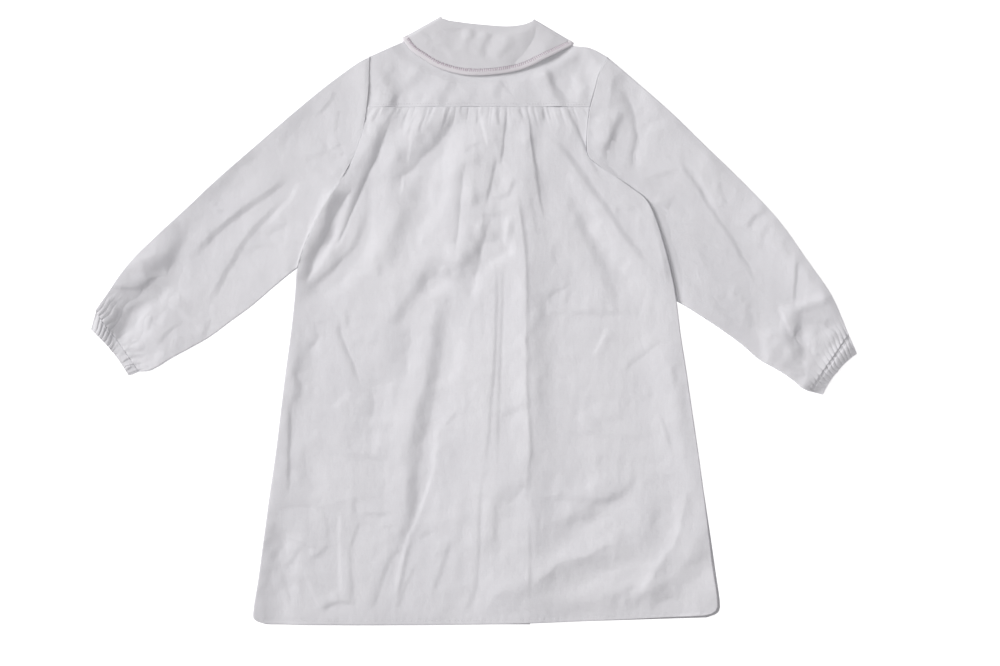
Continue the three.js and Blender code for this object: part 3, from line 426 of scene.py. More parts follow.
RIGHT_SLEEVE_BANDS = bands(
    ([(155, 267), (153, 248), (151, 228)], 9.7, 1.19, 19, -1),
    ([(159, 228), (155, 211), (148, 194), (141, 178), (133, 172)], 10.3, 2.55, 19),
    ([(158, 250), (166, 231), (171, 211), (172, 194), (169, 179), (168, 159)], 9.2, 2.72, 19, 1),
    ([(176, 234), (182, 220), (182, 206), (177, 193)], 9.7, 1.1, 16),
    ([(141, 169), (148, 163), (157, 156)], 5.4, 1.1, 11),
    ([(155, 151), (163, 144), (167, 136)], 5.4, 1.02, 11),
    ([(132, 226), (133, 207), (134, 187)], 10.8, -0.85, 16),
    ([(185, 153), (204, 158), (225, 167)], 5.4, 0.77, 16),
    ([(183, 211), (193, 217), (206, 221)], 5.4, 0.68, 14),
    ([(223, 196), (225, 180), (226, 168), (236, 153), (244, 142), (253, 127), (265, 109), (279, 89),
     (293, 64), (309, 34)], 6.5, 1.44, 24),
    ([(233, 172), (244, 153), (258, 129), (268, 112)], 6.5, -0.77, 19),
    ([(193, 127), (201, 124), (212, 120)], 7.6, 1.36, 14),
    ([(296, 98), (299, 107), (306, 114), (316, 115)], 7.6, 1.7, 16),
    ([(318, 107), (312, 92), (307, 75)], 8.6, 0.85, 19),
    ([(331, 90), (336, 79), (342, 69)], 6.5, 0.85, 14),
    ([(349, 71), (347, 51), (346, 17)], 4.9, 1.53, 16),
    ([(346, 12), (366, 17), (386, 22)], 11.9, 2.55, 19),
    ([(352, 7), (350, -9), (353, -25), (358, -46)], 11.9, 2.21, 19),
    ([(309, -25), (322, -22), (334, -31), (342, -44)], 13, 1.36, 19),
    ([(299, -32), (320, -45), (340, -57), (369, -59)], 6.5, 1.36, 16),
    ([(362, -34), (372, -36), (383, -39)], 3.8, 1.1, 11),
    ([(376, -1), (385, -8), (394, -15)], 4.3, 1.02, 11),
    ([(369, -5), (361, -12), (356, -20)], 6.5, -0.85, 14),
    ([(222, 106), (232, 107), (241, 107)], 3.2, 0.42, 11),
    ([(247, 85), (256, 84), (266, 84)], 3.2, 0.42, 11),
    ([(272, 34), (282, 23), (295, 21)], 8.6, 0.77, 19),
    ([(258, 23), (271, 7), (282, -1)], 8.6, 0.77, 19),
    ([(290, 12), (299, 4), (301, -9)], 9.7, 0.85, 16),
    ([(210, 226), (245, 191), (266, 169), (275, 153)], 13, 1.19, 24),
    ([(266, 153), (268, 137), (273, 123)], 7.6, 0.77, 16),
    ([(309, 126), (336, 93), (361, 56), (383, 18)], 13, 1.36, 22),
    ([(327, 23), (335, 2), (348, -25)], 5.4, -0.77, 14),
    ([(253, 25), (234, 39), (223, 56)], 8.6, 0.42, 19),
)

# Dents in the collar's back
COLLAR_BANDS = bands(
    ([(71, 339), (61, 321), (56, 306), (44, 291), (28, 272)], 16.2, 2.8, 22, 1),
    ([(48, 306), (36, 295), (23, 282)], 10.8, 1.4, 16),
    ([(2, 326), (-1, 315), (2, 304)], 7.6, 1.5, 11),
    ([(-40, 317), (-23, 314), (-6, 319)], 4.3, 1.1, 11),
    ([(-62, 320), (-53, 310), (-43, 304)], 5.4, 1.3, 11),
    ([(-10, 319), (-14, 304), (-21, 289)], 9.7, -1.3, 14),
    ([(19, 315), (14, 300), (7, 282)], 9.7, 1.5, 14),
    ([(93, 313), (86, 301), (76, 289)], 6.5, 1.3, 12),
    ([(-35, 325), (-20, 320), (-6, 320)], 3.2, 0.8, 9),
    ([(-45, 298), (-32, 293), (-23, 282)], 7.6, 0.9, 12),
)


# Shared formulas

def fade(value, start, end):
    """Smooth step: 0 up to start and 1 from end on, level at both."""
    t = np.clip((np.asarray(value, float) - start) / (end - start), 0, 1)
    return t * t * (3 - 2 * t)


def rise(distance, width):
    """Quarter ellipse: 0 at an edge, 1 from width on, steep at the edge and level at the top."""
    return np.sqrt(1 - (1 - np.clip(distance / width, 0, 1)) ** 2)


def along_rows(rows, places):
    """Smooth curve through the rows of a table, read at fractional row numbers.

    Between two rows it is the cubic whose slope at each row is half the step between its neighbours.
    """
    rows = np.asarray(rows, float)
    last = len(rows) - 1
    place = np.clip(np.asarray(places, float), 0, last)
    i = np.minimum(place.astype(int), last - 1)
    t = (place - i)[..., None]
    a, b, c, d = rows[np.maximum(i - 1, 0)], rows[i], rows[i + 1], rows[np.minimum(i + 2, last)]
    return b + 0.5 * t * ((c - a) + t * ((2 * a - 5 * b + 4 * c - d) + t * (3 * b - a - 3 * c + d)))


CELLS = 64  # on each side of the lattice of random heights, which repeats beyond it


def ripple(x, y, size, seed):
    """Smooth random heights from -1 to 1: seeded values on a lattice, joined by smooth steps."""
    lattice = np.random.default_rng(seed).uniform(-1, 1, (CELLS, CELLS))
    gx, gy = x / size + 10 * CELLS, y / size + 10 * CELLS
    i, j = gx.astype(int), gy.astype(int)
    tx, ty = fade(gx - i, 0, 1), fade(gy - j, 0, 1)
    value = lambda a, b: lattice[(i + a) % CELLS, (j + b) % CELLS]
    near = value(0, 0) * (1 - tx) + value(1, 0) * tx
    far = value(0, 1) * (1 - tx) + value(1, 1) * tx
    return near * (1 - ty) + far * ty


LIGHT_SIDE = (-0.8, 0.6)  # towards the key lamp, the side where a crease with a positive drop is high


def band_height(x, y, band):
    """Height of one crease: a step across its path that drops away from the light side.

    A soft step is a cubic across the width, and a sharp one is a power curve, steep at one end. On
    both sides the height goes back to 0 over the reach. The step fades out towards both ends of the
    path, and random heights make it wander a little.
    """
    path = along_rows(band.path, np.linspace(0, len(band.path) - 1, 4 * len(band.path)))
    span = band.width / 2 + band.reach
    inside = (x > path[:, 0].min() - span) & (x < path[:, 0].max() + span)
    inside &= (y > path[:, 1].min() - span) & (y < path[:, 1].max() + span)
    px, py = x[inside], y[inside]
    nearest = np.full(px.shape, np.inf)
    aside = np.zeros(px.shape)
    place = np.zeros(px.shape)
    steps = np.diff(path, axis=0)
    lengths = np.hypot(*steps.T)
    starts = np.concatenate([[0], np.cumsum(lengths)])
    for (ax, ay), (dx, dy), length, start in zip(path, steps, lengths, starts):
        t = np.clip(((px - ax) * dx + (py - ay) * dy) / length**2, 0, 1)
        ox, oy = px - ax - t * dx, py - ay - t * dy
        distance = np.hypot(ox, oy)
        closer = distance < nearest
        nearest = np.where(closer, distance, nearest)
        aside = np.where(closer, (dx * oy - dy * ox) / length, aside)
        place = np.where(closer, (start + t * length) / starts[-1], place)
    chord = path[-1] - path[0]
    if dot_of(-chord[1], chord[0], *LIGHT_SIDE) > 0:
        aside = -aside
    aside = aside + 0.09 * band.width * ripple(px, py, 11, 12)
    q = np.clip(2 * aside / band.width, -1, 1)
    if band.sharp:
        step = band.sharp * (2 * ((1 + band.sharp * q) / 2) ** 2.2 - 1)
    else:
        step = q * (1.5 - 0.5 * q * q)
    beyond = np.clip((np.abs(aside) - band.width / 2) / band.reach, 0, 1)
    decay = np.where(aside * band.sharp > 0, (1 - beyond) ** 1.6, 1 - fade(beyond, 0, 1))
    ends = fade(place, 0, 0.25) * fade(1 - place, 0, 0.25)
    uneven = 1 + 0.22 * ripple(px, py, 16, 13)
    height = np.zeros(x.shape)
    height[inside] = -0.5 * band.drop * step * decay * ends * uneven
    return height


def dot_of(ax, ay, bx, by):
    """Dot product of two flat vectors."""
    return ax * bx + ay * by


def creases(x, y, *tables):
    """Sum of all the creases of the tables."""
    return sum(band_height(x, y, band) for table in tables for band in table)


def crumple(x, y, seed):
    """Small sharp wrinkles in all directions: turned and stretched ripples, folded at their zero lines."""
    height = np.zeros(x.shape)
    for k, (size, top) in enumerate(((44, 0.5), (24, 0.26), (13, 0.13), (6.5, 0.06))):
        c, s = math.cos(0.5 + 1.3 * k), math.sin(0.5 + 1.3 * k)
        wave = ripple(c * x + s * y, 0.62 * (c * y - s * x), size, seed + k)
        height += top * (1 - 2.2 * np.abs(wave))
    return height


def above_zero(height):
    """The height where it is above 0, and nearly 0 where it is below, with a soft change between.

    It is half the sum of the height and the root of its square plus a small number.
    """
    return 0.5 * (height + np.sqrt(height**2 + 0.25))


# Layers of the fronts, which the back lies on

def strip_edges(y):
    """x of the two edges of the strip at a height y."""
    rows = np.array(STRIP[::-1], float)
    return np.interp(y, rows[:, 0], rows[:, 1]), np.interp(y, rows[:, 0], rows[:, 2])


def neck_lift(x, y, spread):
    """1 in the round area at the neck, where the fronts lie on the collar, and 0 outside it."""
    distance = np.hypot(x - NECK_CENTRE[0], y - NECK_CENTRE[1]) - NECK_RADIUS - spread
    return 1 - fade(distance, 0, 40)


def button_lift(x, y, spread, ramp):
    """1 over the row of buttons and 0 outside it."""
    left, right = strip_edges(y)
    outside = np.maximum(left - x, x - right) - spread
    return (1 - fade(outside, 0, ramp)) * (1 - fade(y, 196, 212))


def front_floor(x, y, spread=4, ramp=24):
    """Height of the under face of the lower front."""
    return np.maximum(LAYER * neck_lift(x, y, spread), BUTTON_LIFT * button_lift(x, y, spread, ramp))


def left_front_floor(x, y):
    """Height of the under face of the left front, which lies on the right one in the strip."""
    inside = strip_edges(y)[0] - 4 - x
    return front_floor(x, y) + LAYER * (1 - fade(inside, 0, 24))


def back_floor(x, y):
    """Height of the under face of the back: both fronts below it, with the left one's edge sharp."""
    left, right = strip_edges(y)
    on_lap = fade(x, left - 60, left + 20) * (1 - fade(x, right - 4, right + 30)) * (1 - fade(y, 240, 262))
    return front_floor(x, y, -2, 60) + LAYER * on_lap + LAYER


# Mesh making

def volume_of(points, triangles):
    """Signed volume under a closed surface: positive where its faces point outwards."""
    a, b, c = (points[triangles[:, k]] for k in range(3))
    return np.einsum("ij,ij->i", a, np.cross(b, c)).sum()


def make_piece(name, points, faces, uv, material):
    """A mesh object from points in millimetres, arrays of faces, and a UV position for each point."""
    fans = [np.stack([f[:, 0], f[:, k], f[:, k + 1]], 1) for f in faces for k in range(1, f.shape[1] - 1)]
    if volume_of(points, np.concatenate(fans)) < 0:
        faces = [f[:, ::-1] for f in faces]
    mesh = bpy.data.meshes.new(name)
    mesh.from_pydata(points * MM, [], [face for f in faces for face in f.tolist()])
    corners = np.concatenate([f.ravel() for f in faces])
    layer = mesh.uv_layers.new(name="weave")
    layer.data.foreach_set("uv", (uv[corners] * MM).ravel())
    mesh.polygons.foreach_set("use_smooth", np.full(len(mesh.polygons), True))
    mesh.materials.append(material)
    piece = bpy.data.objects.new(name, mesh)
    bpy.context.scene.collection.objects.link(piece)
    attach(piece, "root")
    return piece


def grid_quads(numbers):
    """Quads between the point numbers of a grid."""
    a, b, c, d = numbers[:-1, :-1], numbers[1:, :-1], numbers[1:, 1:], numbers[:-1, 1:]
    return np.stack([a, b, c, d], -1).reshape(-1, 4)


def zip_rims(fine, coarse):
    """Triangles between a fine rim and a coarse one below it, several fine steps to each coarse step.

    Each coarse point takes a fan of the fine steps nearest to it, and one triangle joins two fans.
    """
    ratio = (len(fine) - 1) // (len(coarse) - 1)
    start, end = coarse[:-1], coarse[1:]
    triangles = []
    for k in range(ratio):
        a, b = fine[k:-1:ratio], fine[k + 1::ratio]
        triangles.append(np.stack([a, start if k < ratio / 2 else end, b], 1))
    middle = fine[(ratio + 1) // 2::ratio][:len(start)]
    triangles.append(np.stack([middle, start, end], 1))
    return np.concatenate(triangles)


def rim_of(numbers):
    """Point numbers round the rim of a grid, back to the first."""
    left, bottom = numbers[:, 0], numbers[-1, :]
    right, top = numbers[::-1, -1], numbers[0, ::-1]
    return np.concatenate([left, bottom[1:], right[1:], top[1:]])


def sheet_faces(top, under):
    """Faces of a closed sheet between two grids of point numbers."""
    return [grid_quads(top), grid_quads(under)[:, ::-1], zip_rims(rim_of(top), rim_of(under))]


def tube_faces(outer, inner):
    """Faces of an open tube's wall between two grids of point numbers that close on themselves."""
    outer, inner = (np.concatenate([numbers, numbers[:, :1]], 1) for numbers in (outer, inner))
    ends = [zip_rims(outer[0][::-1], inner[0][::-1]), zip_rims(outer[-1], inner[-1])]
    return [grid_quads(outer), grid_quads(inner)[:, ::-1], *ends]


def make_sheet(name, outer, inner, uv, material, ratio, faces_between=sheet_faces):
    """A closed wall between a grid of outer points and a coarser one of inner points.

    The ratio says how many steps of the outer grid go to one of the inner grid.
    """
    numbers = np.arange(outer.shape[0] * outer.shape[1]).reshape(outer.shape[:2])
    under = np.arange(inner.shape[0] * inner.shape[1]).reshape(inner.shape[:2]) + numbers.size
    points = np.concatenate([outer.reshape(-1, 3), inner.reshape(-1, 3)])
    flat_uv = np.concatenate([uv.reshape(-1, 2), uv[::ratio, ::ratio].reshape(-1, 2)])
    return make_piece(name, points, faces_between(numbers, under), flat_uv, material)


def grid(rows, columns):
    """Two arrays that run from 0 to 1 down the rows and across the columns."""
    return np.meshgrid(np.linspace(0, 1, rows + 1), np.linspace(0, 1, columns + 1), indexing="ij")


# Materials

def node_of(tree, kind, links=(), **settings):
    """Adds a node, sets its properties and input values, and links its inputs."""
    node = tree.nodes.new(kind)
    for key, value in settings.items():
        if hasattr(node, key):
            setattr(node, key, value)
        else:
            node.inputs[key.replace("_", " ")].default_value = value
    for socket, source in links:
        tree.links.new(source, node.inputs[socket])
    return node


def scaled(tree, coordinates, scale, turn=0.0):
    """Coordinates on a Mapping node with its own scale on each axis and a turn about the third."""
    node = tree.nodes.new("ShaderNodeMapping")
    node.inputs["Scale"].default_value = scale
    node.inputs["Rotation"].default_value = (0, 0, turn)
    tree.links.new(coordinates, node.inputs["Vector"])
    return node.outputs["Vector"]


def maths(tree, operation, a, b):
    """A Math node on two sockets or numbers."""
    node = tree.nodes.new("ShaderNodeMath")
    node.operation = operation
    for socket, value in zip(node.inputs, (a, b)):
        if isinstance(value, (int, float)):
            socket.default_value = value
        else:
            tree.links.new(value, socket)
    return node.outputs[0]


def noise_of(tree, vector, scale, detail=2.0, roughness=0.5):
    """A Noise texture's value."""
    node = node_of(tree, "ShaderNodeTexNoise", [("Vector", vector)], Scale=scale, Detail=detail)
    node.inputs["Roughness"].default_value = roughness
    return node.outputs["Fac"]


def wave_of(tree, vector, pitch, direction):
    """A sine wave with a pitch in metres along one axis of its coordinates."""
    node = node_of(tree, "ShaderNodeTexWave", [("Vector", vector)], Scale=math.tau / 20 / pitch)
    node.bands_direction = direction
    node.inputs["Distortion"].default_value = 0.0
    return node.outputs["Fac"]


def bump_of(tree, height, distance, strength, below=None):
    """A Bump node, over another one if there is one."""
    node = tree.nodes.new("ShaderNodeBump")
    node.inputs["Distance"].default_value = distance
    node.inputs["Strength"].default_value = strength
    tree.links.new(height, node.inputs["Height"])
    if below is not None:
        tree.links.new(below, node.inputs["Normal"])
    return node.outputs["Normal"]


def start_material(name):
    """An empty node material: its tree and its Principled shader."""
    material = bpy.data.materials.new(name)
    material.use_nodes = True
    tree = material.node_tree
    tree.nodes.clear()
    shader = tree.nodes.new("ShaderNodeBsdfPrincipled")
    output = tree.nodes.new("ShaderNodeOutputMaterial")
    tree.links.new(shader.outputs["BSDF"], output.inputs["Surface"])
    return material, tree, shader


def two_tones(tree, shader, factor, darker, lighter):
    """Base colour between two tones, by a factor from 0 to 1."""
    mix = node_of(tree, "ShaderNodeMix", [("Factor", factor)])
    mix.data_type = "RGBA"
    mix.inputs["A"].default_value = (*darker, 1)
    mix.inputs["B"].default_value = (*lighter, 1)
    tree.links.new(mix.outputs["Result"], shader.inputs["Base Color"])


WEAVE_PITCH = 0.00045  # in metres


def cotton(name, lighter, darker, crumpled=1.0):
    """Woven cotton: a plain weave, slubs along both threads, fine crumples and a slightly uneven white.

    The weave is the product of two sine waves, and the rest is stretched noise. Sizes are in metres.
    """
    material, tree, shader = start_material(name)
    place = tree.nodes.new("ShaderNodeTexCoord")
    uv, solid = place.outputs["UV"], place.outputs["Object"]
    warp = wave_of(tree, uv, WEAVE_PITCH, "X")
    weft = wave_of(tree, uv, WEAVE_PITCH, "Y")
    weave = maths(tree, "MULTIPLY", warp, weft)
    slub_up = noise_of(tree, scaled(tree, uv, (1400, 60, 1)), 1.0)
    slub_across = noise_of(tree, scaled(tree, uv, (60, 1400, 1)), 1.0)
    slubs = maths(tree, "ADD", slub_up, slub_across)
    fine = noise_of(tree, scaled(tree, solid, (170, 120, 170), 0.3), 1.0, 3.0, 0.55)
    wide = noise_of(tree, scaled(tree, solid, (55, 34, 55), -0.2), 1.0, 2.0, 0.5)
    normal = bump_of(tree, wide, 0.0022, 0.35 * crumpled)
    normal = bump_of(tree, fine, 0.0007, 0.4 * crumpled, normal)
    normal = bump_of(tree, slubs, 0.0001, 0.5, normal)
    normal = bump_of(tree, weave, 0.00012, 0.6, normal)
    tree.links.new(normal, shader.inputs["Normal"])
    uneven = noise_of(tree, solid, 9.0, 3.0)
    tone = maths(tree, "ADD", maths(tree, "MULTIPLY", uneven, 0.7), maths(tree, "MULTIPLY", slubs, 0.3))
    ramp = node_of(tree, "ShaderNodeMapRange", [("Value", tone)])
    ramp.inputs["From Min"].default_value = 0.35
    ramp.inputs["From Max"].default_value = 0.95
    two_tones(tree, shader, ramp.outputs["Result"], darker, lighter)
    shader.inputs["Roughness"].default_value = 0.88
    shader.inputs["Specular IOR Level"].default_value = 0.25
    shader.inputs["Sheen Weight"].default_value = 0.12
    shader.inputs["Sheen Roughness"].default_value = 0.5
    return material


def thread(name, lighter, darker):
    """Sewing thread: two plies that twist, so fine slanting ridges, with a slight gloss."""
    material, tree, shader = start_material(name)
    place = tree.nodes.new("ShaderNodeTexCoord")
    turned = scaled(tree, place.outputs["Object"], (1, 1, 1), 0.7)
    plies = wave_of(tree, turned, 0.0004, "X")
    tree.links.new(bump_of(tree, plies, 0.0001, 0.6), shader.inputs["Normal"])
    uneven = noise_of(tree, place.outputs["Object"], 180.0)
    two_tones(tree, shader, uneven, darker, lighter)
    shader.inputs["Roughness"].default_value = 0.6
    shader.inputs["Sheen Weight"].default_value = 0.1
    return material


def pearly(name):
    """Polished shell-like plastic: cloudy streaks of cream and grey under a clear coat."""
    material, tree, shader = start_material(name)
    place = tree.nodes.new("ShaderNodeTexCoord")
    clouds = noise_of(tree, scaled(tree, place.outputs["Object"], (260, 90, 200), 0.5), 1.0, 4.0)
    two_tones(tree, shader, clouds, (0.74, 0.72, 0.67), (0.9, 0.88, 0.84))
    tree.links.new(bump_of(tree, clouds, 0.0001, 0.3), shader.inputs["Normal"])
    shader.inputs["Roughness"].default_value = 0.28
    shader.inputs["Coat Weight"].default_value = 0.4
    shader.inputs["Coat Roughness"].default_value = 0.1
    return material


WHITE_COTTON = cotton("white_cotton", (0.83, 0.84, 0.86), (0.77, 0.78, 0.81))
COLLAR_COTTON = cotton("collar_cotton", (0.79, 0.8, 0.82), (0.73, 0.735, 0.76), crumpled=0.7)
RIM_COTTON = cotton("rim_cotton", (0.84, 0.83, 0.85), (0.79, 0.77, 0.8), crumpled=0.4)
WHITE_THREAD = thread("white_thread", (0.86, 0.86, 0.88), (0.74, 0.74, 0.77))
LILAC_THREAD = thread("lilac_thread", (0.62, 0.52, 0.6), (0.5, 0.4, 0.48))
PEARL = pearly("pearl_button")


# Back panel and yoke

def body_rows(places):
    """The body's outline at fractional row numbers: left x and y, right x and y, middle y."""
    return np.moveaxis(along_rows(BODY, places), -1, 0)


def body_point(places, u):
    """x and y at a row and at share u from its left edge, on a parabola through the middle."""
    left_x, left_y, right_x, right_y, middle_y = body_rows(places)
    sag = middle_y - (left_y + right_y) / 2
    x = left_x + (right_x - left_x) * u
    y = left_y + (right_y - left_y) * u + 4 * sag * u * (1 - u)
    return x, y


MIDDLE_Y = [row[4] for row in BODY]
SEAM_Y = MIDDLE_Y[SEAM_ROW]
ROW_STEP = 10  # average distance between the last rows
HEM_STITCH = 9.5  # from the hem up to its stitching
YOKE_STITCH = 0.965  # share of the way down the yoke


def row_at(y):
    """Fractional row number whose middle is at the height y."""
    return np.interp(-np.asarray(y, float), [-value for value in MIDDLE_Y], range(len(BODY)))


def gather_height(x, y):
    """Ridges and furrows that start at the yoke's seam, widen, fan out to both sides and fade below it.

    Across its width each is a power curve with its peak in the middle. Two out of three are furrows.
    """
    below = SEAM_Y - y
    random = np.random.default_rng(21)
    height = np.zeros(x.shape)
    for middle in np.arange(-110, 122, 5.2):
        start = middle + random.uniform(-3.4, 3.4)
        drift = 0.55 * (start - 20) + random.uniform(-12, 12)
        length = random.uniform(6, 34)
        top = (random.uniform(0.15, 0.3) + 0.014 * length) * random.choice((-1, -1, 1))
        width = random.uniform(3.4, 7)
        spread = width * (1 + below / 90)
        q = np.clip(2 * (x - start - drift * below / 100) / spread, -1, 1)
        along = fade(below, -4, 4) * (1 - fade(below, 0.2 * length, length))
        height += top * (1 - np.abs(q)) ** 1.6 * along
    return height


def side_rise(places, u):
    """Extra height along the body's free sides, where the folded cloth is stiffer and stands up."""
    left_x, _, right_x, _, _ = body_rows(places)
    width = right_x - left_x
    left = fade(places, 13, 17) * (1 - fade(u * width, 0, SIDE_SAG))
    right = fade(places, 8, 13) * (1 - fade((1 - u) * width, 0, SIDE_SAG))
    return SIDE_RISE * (0.6 * left + 1.4 * right)


def panel_top(places, u):
    """Top face of the back panel: the layers below it, its own wall, loft, creases and gathers.

    Ripples and crumples die away towards the seam like an exponential. The hem's stitching lies in a
    bell-shaped groove, with puckers beside it: a fine sine of wandering phase.
    """
    x, y = body_point(places, u)
    above_hem = (len(BODY) - 1 - places) * ROW_STEP
    relief = creases(x, y, YOKE_BANDS[:1], GATHER_BANDS, MIDDLE_BANDS, HEM_BANDS)
    relief += 0.6 * ripple(x, 0.6 * y, 46, 3) + crumple(x, y, 101)
    relief = relief * (1 - np.exp(-(SEAM_Y - y) / 5)) + gather_height(x, y) + creases(x, y, FOLDS)
    loft = 3.6 * (0.65 + 0.35 * fade(SEAM_Y - y, -12, 40)) * (0.2 + 0.8 * fade(above_hem, -8, 56))
    puckers = 0.14 * np.sin(x / 1.25 + 2.5 * ripple(x, y, 30, 8)) * np.exp(-((above_hem - 9) / 5) ** 2)
    hem_groove = -0.22 * np.exp(-((above_hem - HEM_STITCH) / 1.2) ** 2)
    height = above_zero(loft + relief + side_rise(places, u)) + puckers + hem_groove
    z = back_floor(x, y) + WALL + height
    return np.stack([x, y, z], -1)


def lowered(points, distance):
    """The same points, lower by a distance."""
    return points - np.array([0, 0, distance])


def make_back_panel():
    """The gathered back, from the yoke's seam to the hem."""
    ratio = 4
    v, u = grid(300, 300)
    places = row_at(SEAM_Y - SEAM_GAP / 2 - v * (SEAM_Y - SEAM_GAP / 2 - MIDDLE_Y[-1]))
    top = panel_top(places, u)
    uv = top[..., :2]
    under = lowered(top[::ratio, ::ratio], UNDERSIDE)
    return make_sheet("back_panel_cloth", top, under, uv, WHITE_COTTON, ratio)


def neck_seam(sections):
    """Points on the neck seam, one for each collar section, just beyond the inner stand."""
    rows = np.array(sections, float)
    neck, rim = rows[:, :2], rows[:, 2:]
    direction = (rim - neck) / np.linalg.norm(rim - neck, axis=1, keepdims=True)
    return (neck + (STAND + GAP) * direction).tolist()


YOKE_LINE = [*LEFT_SHOULDER, *neck_seam(COLLAR_BACK), *RIGHT_SHOULDER]


def past_collar(x, y):
    """About 1 on the collar's rim at the back, less inside it and more outside it: an ellipse."""
    return np.hypot((x - 14) / 91, (y - 318) / 53)


def yoke_top(t, u):
    """Top face of the yoke: ruled from the shoulders and neck to the seam, with low creases.

    Its turned edge is a quarter ellipse, and the stitching lies in a bell-shaped groove with a fine sine.
    """
    upper = along_rows(YOKE_LINE, u * (len(YOKE_LINE) - 1))
    seam_x, seam_y = body_point(np.full(u.shape, float(SEAM_ROW)), u)
    first, seam = BODY[0], BODY[SEAM_ROW]
    outline = body_rows(t * SEAM_ROW)
    left = outline[0] - (first[0] + (seam[0] - first[0]) * t)
    right = outline[2] - (first[2] + (seam[2] - first[2]) * t)
    x = upper[..., 0] + (seam_x - upper[..., 0]) * t + (1 - u) * left + u * right
    y = upper[..., 1] + (seam_y + SEAM_GAP / 2 - upper[..., 1]) * t
    clear = fade(past_collar(x, y), 1.02, 1.22)
    relief = creases(x, y, FOLDS, YOKE_BANDS) + 0.3 * ripple(x, y, 34, 9) + 0.9 * crumple(x, y, 111)
    turned_edge = rise((1 - t) * 60 + 0.4, 1.4)
    z = back_floor(x, y) + WALL + clear * above_zero(2.4 + relief) + 0.35 * fade(t, 0.7, 0.97)
    z += (turned_edge - 1) * 0.9
    z -= (0.2 + 0.12 * np.sin(x / 0.48)) * np.exp(-((t - YOKE_STITCH) / 0.014) ** 2)
    return np.stack([x, y, z], -1)


def make_yoke():
    """The plain yoke across the shoulders. Its lower edge is turned under and laps over the gathers."""
    ratio = 4
    t, u = grid(88, 200)
    t = 1 - (1 - t) ** 1.35
    top = yoke_top(t, u)
    under = lowered(top[::ratio, ::ratio], UNDERSIDE)
    return make_sheet("back_yoke_cloth", top, under, top[..., :2], WHITE_COTTON, ratio)


# Fronts

def front_points(places, u, side):
    """x and y on a front, from its side edge at u 0 to its free edge at u 1.

    Down to the collar's row it is ruled from the line of the shoulder and neck, with the armhole's
    curve added at the side. Below that row it runs straight across at each height.
    """
    column = 0 if side == "left" else 2
    lap = 1 if side == "left" else 0
    sections = COLLAR_FRONT_LEFT if side == "left" else COLLAR_FRONT_RIGHT
    shoulder = LEFT_SHOULDER if side == "left" else RIGHT_SHOULDER[::-1]
    line = [*shoulder, *neck_seam(sections), (strip_edges(STRIP_TOP)[lap], STRIP_TOP)]
    upper = along_rows(line, u * (len(line) - 1))
    outline = body_rows(places)
    edge_x, edge_y, middle_y = outline[column], outline[column + 1], outline[4]
    if side == "right":
        spread = 2.6 * (1 - fade(edge_y, -290, -120))
        edge_x = edge_x + spread
        edge_y = edge_y - spread * fade(places, 22, 23)
    first, last = BODY[0], BODY[COLLAR_ROW]
    t = np.clip((first[column + 1] - edge_y) / (first[column + 1] - last[column + 1]), 0, 1)
    last_lap = strip_edges(last[4])[lap]
    bottom_x = last[column] + (last_lap - last[column]) * u
    bottom_y = last[column + 1] + (last[4] - last[column + 1]) * u
    shift = (edge_x - (first[column] + (last[column] - first[column]) * t)) * (1 - u)
    ruled = np.stack([upper[..., 0] + (bottom_x - upper[..., 0]) * t + shift,
                      upper[..., 1] + (bottom_y - upper[..., 1]) * t], -1)
    lap_x = strip_edges(middle_y)[lap]
    plain = np.stack([edge_x + (lap_x - edge_x) * u, edge_y + (middle_y - edge_y) * u], -1)
    return np.where((places < COLLAR_ROW)[..., None], ruled, plain)


def make_front(side):
    """One front: its wall between the floor that it lies on and the layer above it.

    Its lower face, the one that shows from beneath, ripples a little except along its edges.
    """
    ratio = 2
    v, u = grid(150, 70)
    places = row_at(MIDDLE_Y[0] + v * (MIDDLE_Y[-1] - MIDDLE_Y[0]))
    points = front_points(places, u, side)
    x, y = points[..., 0], points[..., 1]
    floor = left_front_floor(x, y) if side == "left" else front_floor(x, y)
    inside = fade(np.minimum(u, 1 - u), 0, 0.12) * fade(np.minimum(v, 1 - v), 0, 0.1)
    seed = 31 if side == "left" else 41
    soft = inside * (0.35 + 0.35 * ripple(x, 0.5 * y, 42, seed) + 0.2 * ripple(x, y, 15, seed + 1))
    under = np.stack([x, y, floor + soft], -1)
    top = lowered(under[::ratio, ::ratio], -WALL * 0.8)
    return make_sheet("front_" + side + "_cloth", under, top, under[..., :2], WHITE_COTTON, ratio)


# Sleeves and cuffs

def armhole_bow(side, shares):
    """How far the armhole's curve stands off the straight line between its ends, at shares of it."""
    last = LEFT_UNDERARM if side == "left" else RIGHT_UNDERARM
    column = 0 if side == "left" else 2
    rows = along_rows([row[column:column + 2] for row in BODY[:last + 1]], np.linspace(0, last, 20 * last))
    step = np.gradient(rows, axis=0)
    step /= np.linalg.norm(step, axis=1, keepdims=True)
    outwards = -1 if side == "left" else 1
    rows = rows + outwards * SEAM_GAP * np.stack([-step[:, 1], step[:, 0]], 1)
    chord = rows[-1] - rows[0]
    along = (rows - rows[0]) @ chord / (chord @ chord)
    offset = rows - rows[0] - along[:, None] * chord
    return np.stack([np.interp(shares, along, offset[:, k]) for k in range(2)], -1)


EDGE_STEPS = 7  # points round each folded edge
FOLD_RADIUS = 0.9  # from a folded edge's outer line to where the flat faces begin
TUBE_WALL = 0.9  # how far a tube's inner face lies inside its outer one
SLEEVE_LENGTH = 440  # nominal, for distances along a sleeve
RUFFLES = 13  # ruffles across a cuff, and gathers above it


